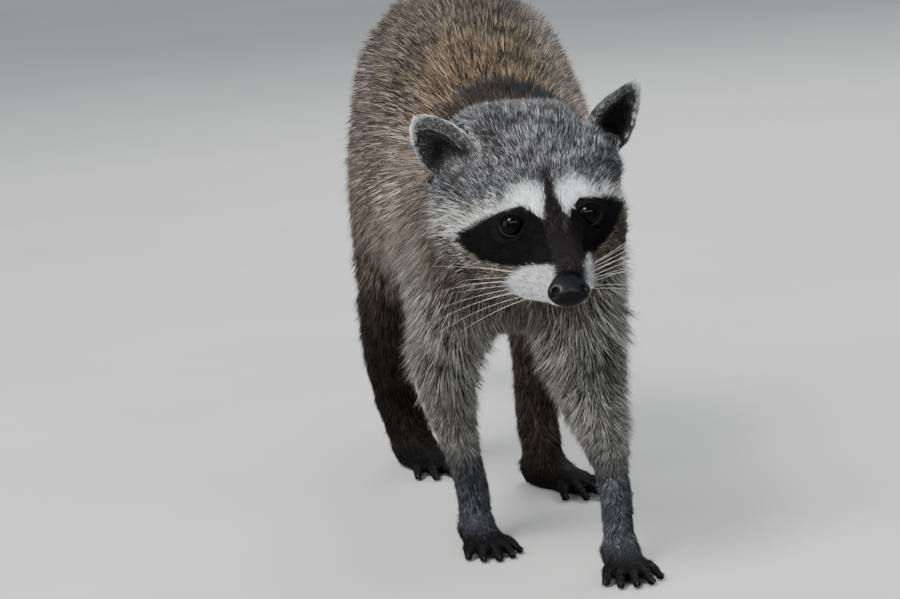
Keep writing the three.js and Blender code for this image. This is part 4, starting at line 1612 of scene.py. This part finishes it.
class RACCOON_OT_eyes(bpy.types.Operator):
    """Makes the eyeballs with their iris and pupil, and the wet edge of the lids"""

    bl_idname = "raccoon.eyes"
    bl_label = "Eyes"

    def execute(self, context):
        sizes = context.scene.raccoon_skin
        face = context.scene.raccoon_face
        lid_skin = wet_skin_finish("lid", LID_SKIN, 0.32, 1800, 0.00006)
        for node in EYES:
            socket = EyeSocket(node, sizes)
            forward = Vector(socket.forward)
            bm = bmesh.new()
            bmesh.ops.create_uvsphere(bm, u_segments=48, v_segments=32, radius=socket.radius)
            turn = Vector((0, 0, 1)).rotation_difference(forward).to_matrix()
            bmesh.ops.rotate(bm, verts=bm.verts, matrix=turn)
            bmesh.ops.translate(bm, verts=bm.verts, vec=Vector(socket.centre))
            piece = from_bmesh(bm, node.replace("eye", "eyeball"))
            places = array_of(piece.data.vertices, "co", 3)
            look = unit(places - socket.centre) @ socket.forward
            keep_on(piece.data, "off_axis", np.arccos(look.clip(-1, 1)))
            piece.data.materials.append(eye_finish(face))
            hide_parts(node)
            lids = ring_tube(socket.rim(48, -0.0009, 0.00025), 0.00035, node.replace("eye", "lids"))
            keep_on(lids.data, "wet", np.full(len(lids.data.vertices), 0.2))
            lids.data.materials.append(lid_skin)
        return {"FINISHED"}


def ring_tube(points, radius, name):
    """A closed tube through a ring of points."""
    curve = bpy.data.curves.new(name, "CURVE")
    curve.dimensions = "3D"
    curve.bevel_depth = radius
    curve.bevel_resolution = 3
    spline = curve.splines.new("POLY")
    spline.points.add(len(points) - 1)
    for point, place in zip(spline.points, points):
        point.co = (*place, 1)
    spline.use_cyclic_u = True
    holder = bpy.data.objects.new(name, curve)
    bpy.context.scene.collection.objects.link(holder)
    graph = bpy.context.evaluated_depsgraph_get()
    mesh = bpy.data.meshes.new_from_object(holder.evaluated_get(graph))
    bpy.data.objects.remove(holder)
    return object_from(mesh, name)


class RACCOON_OT_nose(bpy.types.Operator):
    """Makes the nose pad with its nostrils and the groove between them"""

    bl_idname = "raccoon.nose"
    bl_label = "Nose"

    def execute(self, context):
        face = context.scene.raccoon_face
        centre, half = middle("nose"), half_size("nose")
        bm = bmesh.new()
        bmesh.ops.create_uvsphere(bm, u_segments=96, v_segments=64, radius=1)
        bmesh.ops.rotate(bm, verts=bm.verts, matrix=quarter_turn())
        piece = from_bmesh(bm, "nose_pad")
        mesh = piece.data
        pad = Hide(mesh)
        ball = pad.places
        pad.places = nose_shape(ball, np.array(centre), np.array(half), face.nostril)
        pad.write()
        keep_on(mesh, "wet", 0.05 + 0.38 * ramp(ball[:, 2], -0.15, 0.45))
        mesh.materials.append(wet_skin_finish("nose_leather", LEATHER, 0.42, 1500, 0.00009))
        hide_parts("nose")
        return {"FINISHED"}


NOSE_SHIFT = np.array([0.0026, 0, -0.0002])  # brings the drawn pad over its solid's tip


def quarter_turn():
    """Lays a ball's poles from fore to aft."""
    return Vector((0, 0, 1)).rotation_difference(Vector((0, -1, 0))).to_matrix()


def nose_shape(ball, centre, half, nostril):
    """Draws a unit ball into a nose pad: it narrows up into the bridge, and has nostrils and a groove."""
    x, y, z = ball.T
    half = half * [1.10, 1.0, 1.02]
    wide = 1 - 0.36 * np.maximum(z, 0) ** 1.3 - 0.14 * np.maximum(-z, 0) ** 2
    flat_x = np.sign(x) * np.abs(x) ** 0.9 * half[0] * wide
    flat_z = np.sign(z) * np.abs(z) ** 0.92 * half[2] * (1 - 0.06 * np.maximum(z, 0))
    depth = y * np.where(y < 0, half[1], half[1] * 1.9)
    places = np.stack([flat_x, depth, flat_z], axis=1)
    leans_back = 2.4 * (np.sqrt(z**2 + 0.02) + z) + 1.2 * np.maximum(-z, 0) ** 2
    groove = 0.6 * np.exp(-((x / 0.10) ** 2)) * (1 - ramp(z, -0.2, 0.4)) * (y < 0.2)
    places[:, 1] += (leans_back + groove) * MM
    places[:, 2] += 1.9 * MM * ramp(z, 0.1, 0.9) * ramp(y, -0.6, 0.3)
    front = y < 0.5
    for sign in (-1, 1):
        outward, up = sign * places[:, 0] / half[0], places[:, 2] / half[2]
        hole = np.hypot((outward - 0.68 + 0.25 * (up - 0.1)) / 0.70, (up - 0.16) / 1.25) * half[0]
        slit = np.exp(-(((up + 0.16 + 0.35 * (outward - 0.6)) / 0.13) ** 2)) * ramp(outward, 0.5, 0.72)
        places[:, 1] += (3.4 * np.exp(-((hole / nostril) ** 2)) + 1.8 * slit) * front * MM
        wing = np.exp(-(((outward - 0.86) / 0.2) ** 2) - ((up - 0.22) / 0.4) ** 2)
        places[:, 0] += sign * 0.4 * wing * front * MM
    return centre + places - NOSE_SHIFT


class RACCOON_OT_claws(bpy.types.Operator):
    """Makes the claws at the ends of the toes"""

    bl_idname = "raccoon.claws"
    bl_label = "Claws"

    def execute(self, context):
        face = context.scene.raccoon_face
        whole = bmesh.new()
        for node in PAWS:
            for tip, heading in claw_tips(node):
                add_claw(whole, tip, heading, face)
        piece = from_bmesh(whole, "claws")
        piece.data.materials.append(claw_finish())
        return {"FINISHED"}


# How high a claw arches, how much higher its root is than its tip, and the tip's gap to the floor.
CLAW_ARCH, CLAW_RISE, CLAW_GAP = 0.0012, 0.0016, 0.0002


def add_claw(whole, tip, heading, face):
    """A curved cone that ends at the tip and leaves its toe above it."""
    bm = bmesh.new()
    bmesh.ops.create_cone(bm, cap_ends=True, segments=10, radius1=1, radius2=0.12, depth=1)
    long_edges = [edge for edge in bm.edges if abs(edge.verts[0].co.z - edge.verts[1].co.z) > 0.5]
    bmesh.ops.subdivide_edges(bm, edges=long_edges, cuts=5)
    ahead = Vector(heading)
    aside = ahead.cross(Vector((0, 0, 1)))
    wide = face.claw_radius
    for vertex in bm.verts:
        share = vertex.co.z + 0.5
        arch = 4 * CLAW_ARCH * share * (1 - share) + CLAW_RISE * (1 - share)
        centre = Vector(tip) + ahead * (share - 1) * face.claw_length + Vector((0, 0, arch + CLAW_GAP))
        vertex.co = centre + aside * vertex.co.x * wide * 0.75 + Vector((0, 0, vertex.co.y * wide))
    bmesh.ops.recalc_face_normals(bm, faces=bm.faces)
    add_to(whole, bm)


class RACCOON_OT_whiskers(bpy.types.Operator):
    """Makes the whiskers, from the spots on the sides of the muzzle"""

    bl_idname = "raccoon.whiskers"
    bl_label = "Whiskers"

    def execute(self, context):
        face = context.scene.raccoon_face
        skin = bpy.data.objects["skin"]
        tree = BVHTree.FromObject(skin, bpy.context.evaluated_depsgraph_get())
        random = np.random.default_rng(WHISKER_SEED)
        places, triangles, alongs = [], [], []
        for sign in (-1, 1):
            for number in range(face.whisker_count):
                line = whisker_line(sign, number, face, tree, random)
                radius = face.whisker_radius * random.uniform(0.75, 1.0)
                add_hair(line, radius, places, triangles, alongs)
        mesh = bpy.data.meshes.new("whiskers")
        fill(mesh, np.concatenate(places), np.concatenate(triangles))
        keep_on(mesh, "along", np.concatenate(alongs))
        piece = object_from(mesh, "whiskers")
        mesh.materials.append(whisker_finish())
        return {"FINISHED"}


WHISKER_SEED = 11


def whisker_line(sign, number, face, tree, random):
    """The curve of one whisker, out of the muzzle and back, drooping to its tip."""
    row, column = number % 4, number // 4
    back = -41.0 + 7.0 * column + 1.5 * row + random.uniform(-1.5, 1.5)
    up = -25.0 - 3.6 * row + random.uniform(-0.8, 0.8)
    start, target = head.place(34.0 * sign, back + 6, up), head.place(2.0 * sign, back, up)
    hit = tree.ray_cast(start, (target - start).normalized())[0]
    root = np.array(hit if hit is not None else target)
    length = face.whisker_length * random.uniform(0.7, 1.0) * (0.72 + 0.14 * column)
    lift = (0.34 if sign > 0 else 0.14) - 0.10 * row + random.uniform(-0.07, 0.07)
    outward = np.array([sign * 0.92, 0.30 + 0.12 * column, lift])
    outward /= np.linalg.norm(outward)
    droop = np.array([-0.10 * sign, 0.30, -0.10 - 0.10 * row + random.uniform(-0.08, 0.08)])
    share = np.linspace(0, 1, 14)[:, None]
    return root - outward * 0.001 + length * (outward * share + droop * share**2 * 0.55)


def add_hair(line, radius, places, triangles, alongs):
    """A closed four-sided hair along a line, from its radius to a fine tip."""
    steps = len(line)
    heading = unit(np.gradient(line, axis=0))
    aside = unit(np.cross(heading, [0.0, 0.0, 1.0]))
    over = np.cross(heading, aside)
    share = np.linspace(0, 1, steps)
    wide = radius * (1 - 0.75 * share)
    turns = (np.arange(4) * math.pi / 2)[None, :, None]
    round_ring = aside[:, None, :] * np.cos(turns) + over[:, None, :] * np.sin(turns)
    rings = line[:, None, :] + round_ring * wide[:, None, None]
    start = sum(len(block) for block in places)
    places.append(rings.reshape(-1, 3))
    alongs.append(np.repeat(share, 4))
    index = np.arange(steps * 4).reshape(steps, 4)
    a, b = index[:-1], index[1:]
    a_next, b_next = np.roll(a, -1, axis=1), np.roll(b, -1, axis=1)
    halves = [np.stack(corners, axis=-1).reshape(-1, 3) for corners in ((a, b, b_next), (a, b_next, a_next))]
    caps = [index[0][[0, 1, 2]], index[0][[0, 2, 3]], index[-1][[0, 2, 1]], index[-1][[0, 3, 2]]]
    triangles.append(np.concatenate([*halves, caps]) + start)


# ---------------------------------------------------------------- the stage

SKY_COLOUR = (0.86, 0.92, 1.0, 1)


class RACCOON_OT_stage(bpy.types.Operator):
    """Sets the floor, the lights and the camera"""

    bl_idname = "raccoon.stage"
    bl_label = "Stage"

    def execute(self, context):
        sizes = context.scene.raccoon_stage
        scene = context.scene
        bm = bmesh.new()
        bmesh.ops.create_grid(bm, x_segments=1, y_segments=1, size=20)
        mesh = bpy.data.meshes.new("floor")
        bm.to_mesh(mesh)
        bm.free()
        floor = bpy.data.objects.new("floor", mesh)
        scene.collection.objects.link(floor)
        finish = Finish("floor", Roughness=0.85)
        grain = finish.noise(3.0, 4.0)
        shade = finish.mix(grain.ramp(0.35, 0.65), sizes.floor, tuple(c * 0.94 for c in sizes.floor))
        mesh.materials.append(finish.feed(Base_Color=shade))
        add_light("key", sizes.key, 0.9, (-1.1, -1.3, 2.3))
        add_light("fill", sizes.fill, 1.6, (-2.2, -0.8, 1.0))
        add_light("rim", sizes.rim, 1.2, (0.7, 1.9, 1.8))
        strip = add_light("strip", sizes.strip, 2.6, (0.0, -2.1, 1.45))
        strip.shape = "RECTANGLE"
        strip.size_y = 0.22
        world = bpy.data.worlds.new("sky")
        world.use_nodes = True
        background = world.node_tree.nodes["Background"]
        background.inputs["Color"].default_value = SKY_COLOUR
        background.inputs["Strength"].default_value = sizes.world
        scene.world = world
        add_camera(sizes)
        return {"FINISHED"}


def add_light(name, power, size, place):
    """A square soft light that faces the animal's middle."""
    light = bpy.data.lights.new(name, "AREA")
    light.energy = power
    light.size = size
    holder = bpy.data.objects.new(name, light)
    holder.location = place
    aim = Vector((0, -0.1, 0.16)) - Vector(place)
    holder.rotation_euler = aim.to_track_quat("-Z", "Y").to_euler()
    bpy.context.scene.collection.objects.link(holder)
    return light


def add_camera(sizes):
    """Stands in front of the animal, a little to its right, and looks down on it."""
    ahead = Vector((math.sin(sizes.azimuth), math.cos(sizes.azimuth), 0))
    right = Vector((ahead.y, -ahead.x, 0))
    look = ahead * math.cos(sizes.pitch) - Vector((0, 0, math.sin(sizes.pitch)))
    up = right.cross(look)
    rolled_right = right * math.cos(sizes.roll) - up * math.sin(sizes.roll)
    rolled_up = up * math.cos(sizes.roll) + right * math.sin(sizes.roll)
    data = bpy.data.cameras.new("camera")
    data.lens = sizes.lens
    data.sensor_width = 36
    data.clip_start = 0.1
    data.clip_end = 60
    camera = bpy.data.objects.new("camera", data)
    rows = Matrix((rolled_right, rolled_up, -look)).transposed().to_4x4()
    rows.translation = Vector(sizes.camera)
    camera.matrix_world = rows
    bpy.context.scene.collection.objects.link(camera)
    bpy.context.scene.camera = camera


# ---------------------------------------------------------------- the add-on

class RACCOON_PT_panel(bpy.types.Panel):
    """Lists the pieces of the raccoon"""

    bl_label = "Raccoon"
    bl_space_type = "VIEW_3D"
    bl_region_type = "UI"
    bl_category = "Raccoon"

    def draw(self, context):
        for operator in OPERATORS:
            self.layout.operator(operator.bl_idname)


OPERATORS = (
    RACCOON_OT_stage,
    RACCOON_OT_skin,
    RACCOON_OT_eyes,
    RACCOON_OT_nose,
    RACCOON_OT_claws,
    RACCOON_OT_whiskers,
    RACCOON_OT_coat,
)
GROUPS = {
    "raccoon_skin": SkinSizes,
    "raccoon_face": FaceSizes,
    "raccoon_coat": CoatSizes,
    "raccoon_stage": StageSizes,
}


def register():
    for group in GROUPS.values():
        bpy.utils.register_class(group)
    for operator in OPERATORS:
        bpy.utils.register_class(operator)
    bpy.utils.register_class(RACCOON_PT_panel)
    for name, group in GROUPS.items():
        setattr(bpy.types.Scene, name, PointerProperty(type=group))


def unregister():
    for name in GROUPS:
        delattr(bpy.types.Scene, name)
    bpy.utils.unregister_class(RACCOON_PT_panel)
    for operator in reversed(OPERATORS):
        bpy.utils.unregister_class(operator)
    for group in reversed(list(GROUPS.values())):
        bpy.utils.unregister_class(group)


def main():
    """Makes all the pieces in order."""
    register()
    bpy.ops.raccoon.stage()
    bpy.ops.raccoon.skin()
    bpy.ops.raccoon.eyes()
    bpy.ops.raccoon.nose()
    bpy.ops.raccoon.claws()
    bpy.ops.raccoon.whiskers()
    bpy.ops.raccoon.coat()


if __name__ == "__main__":
    main()
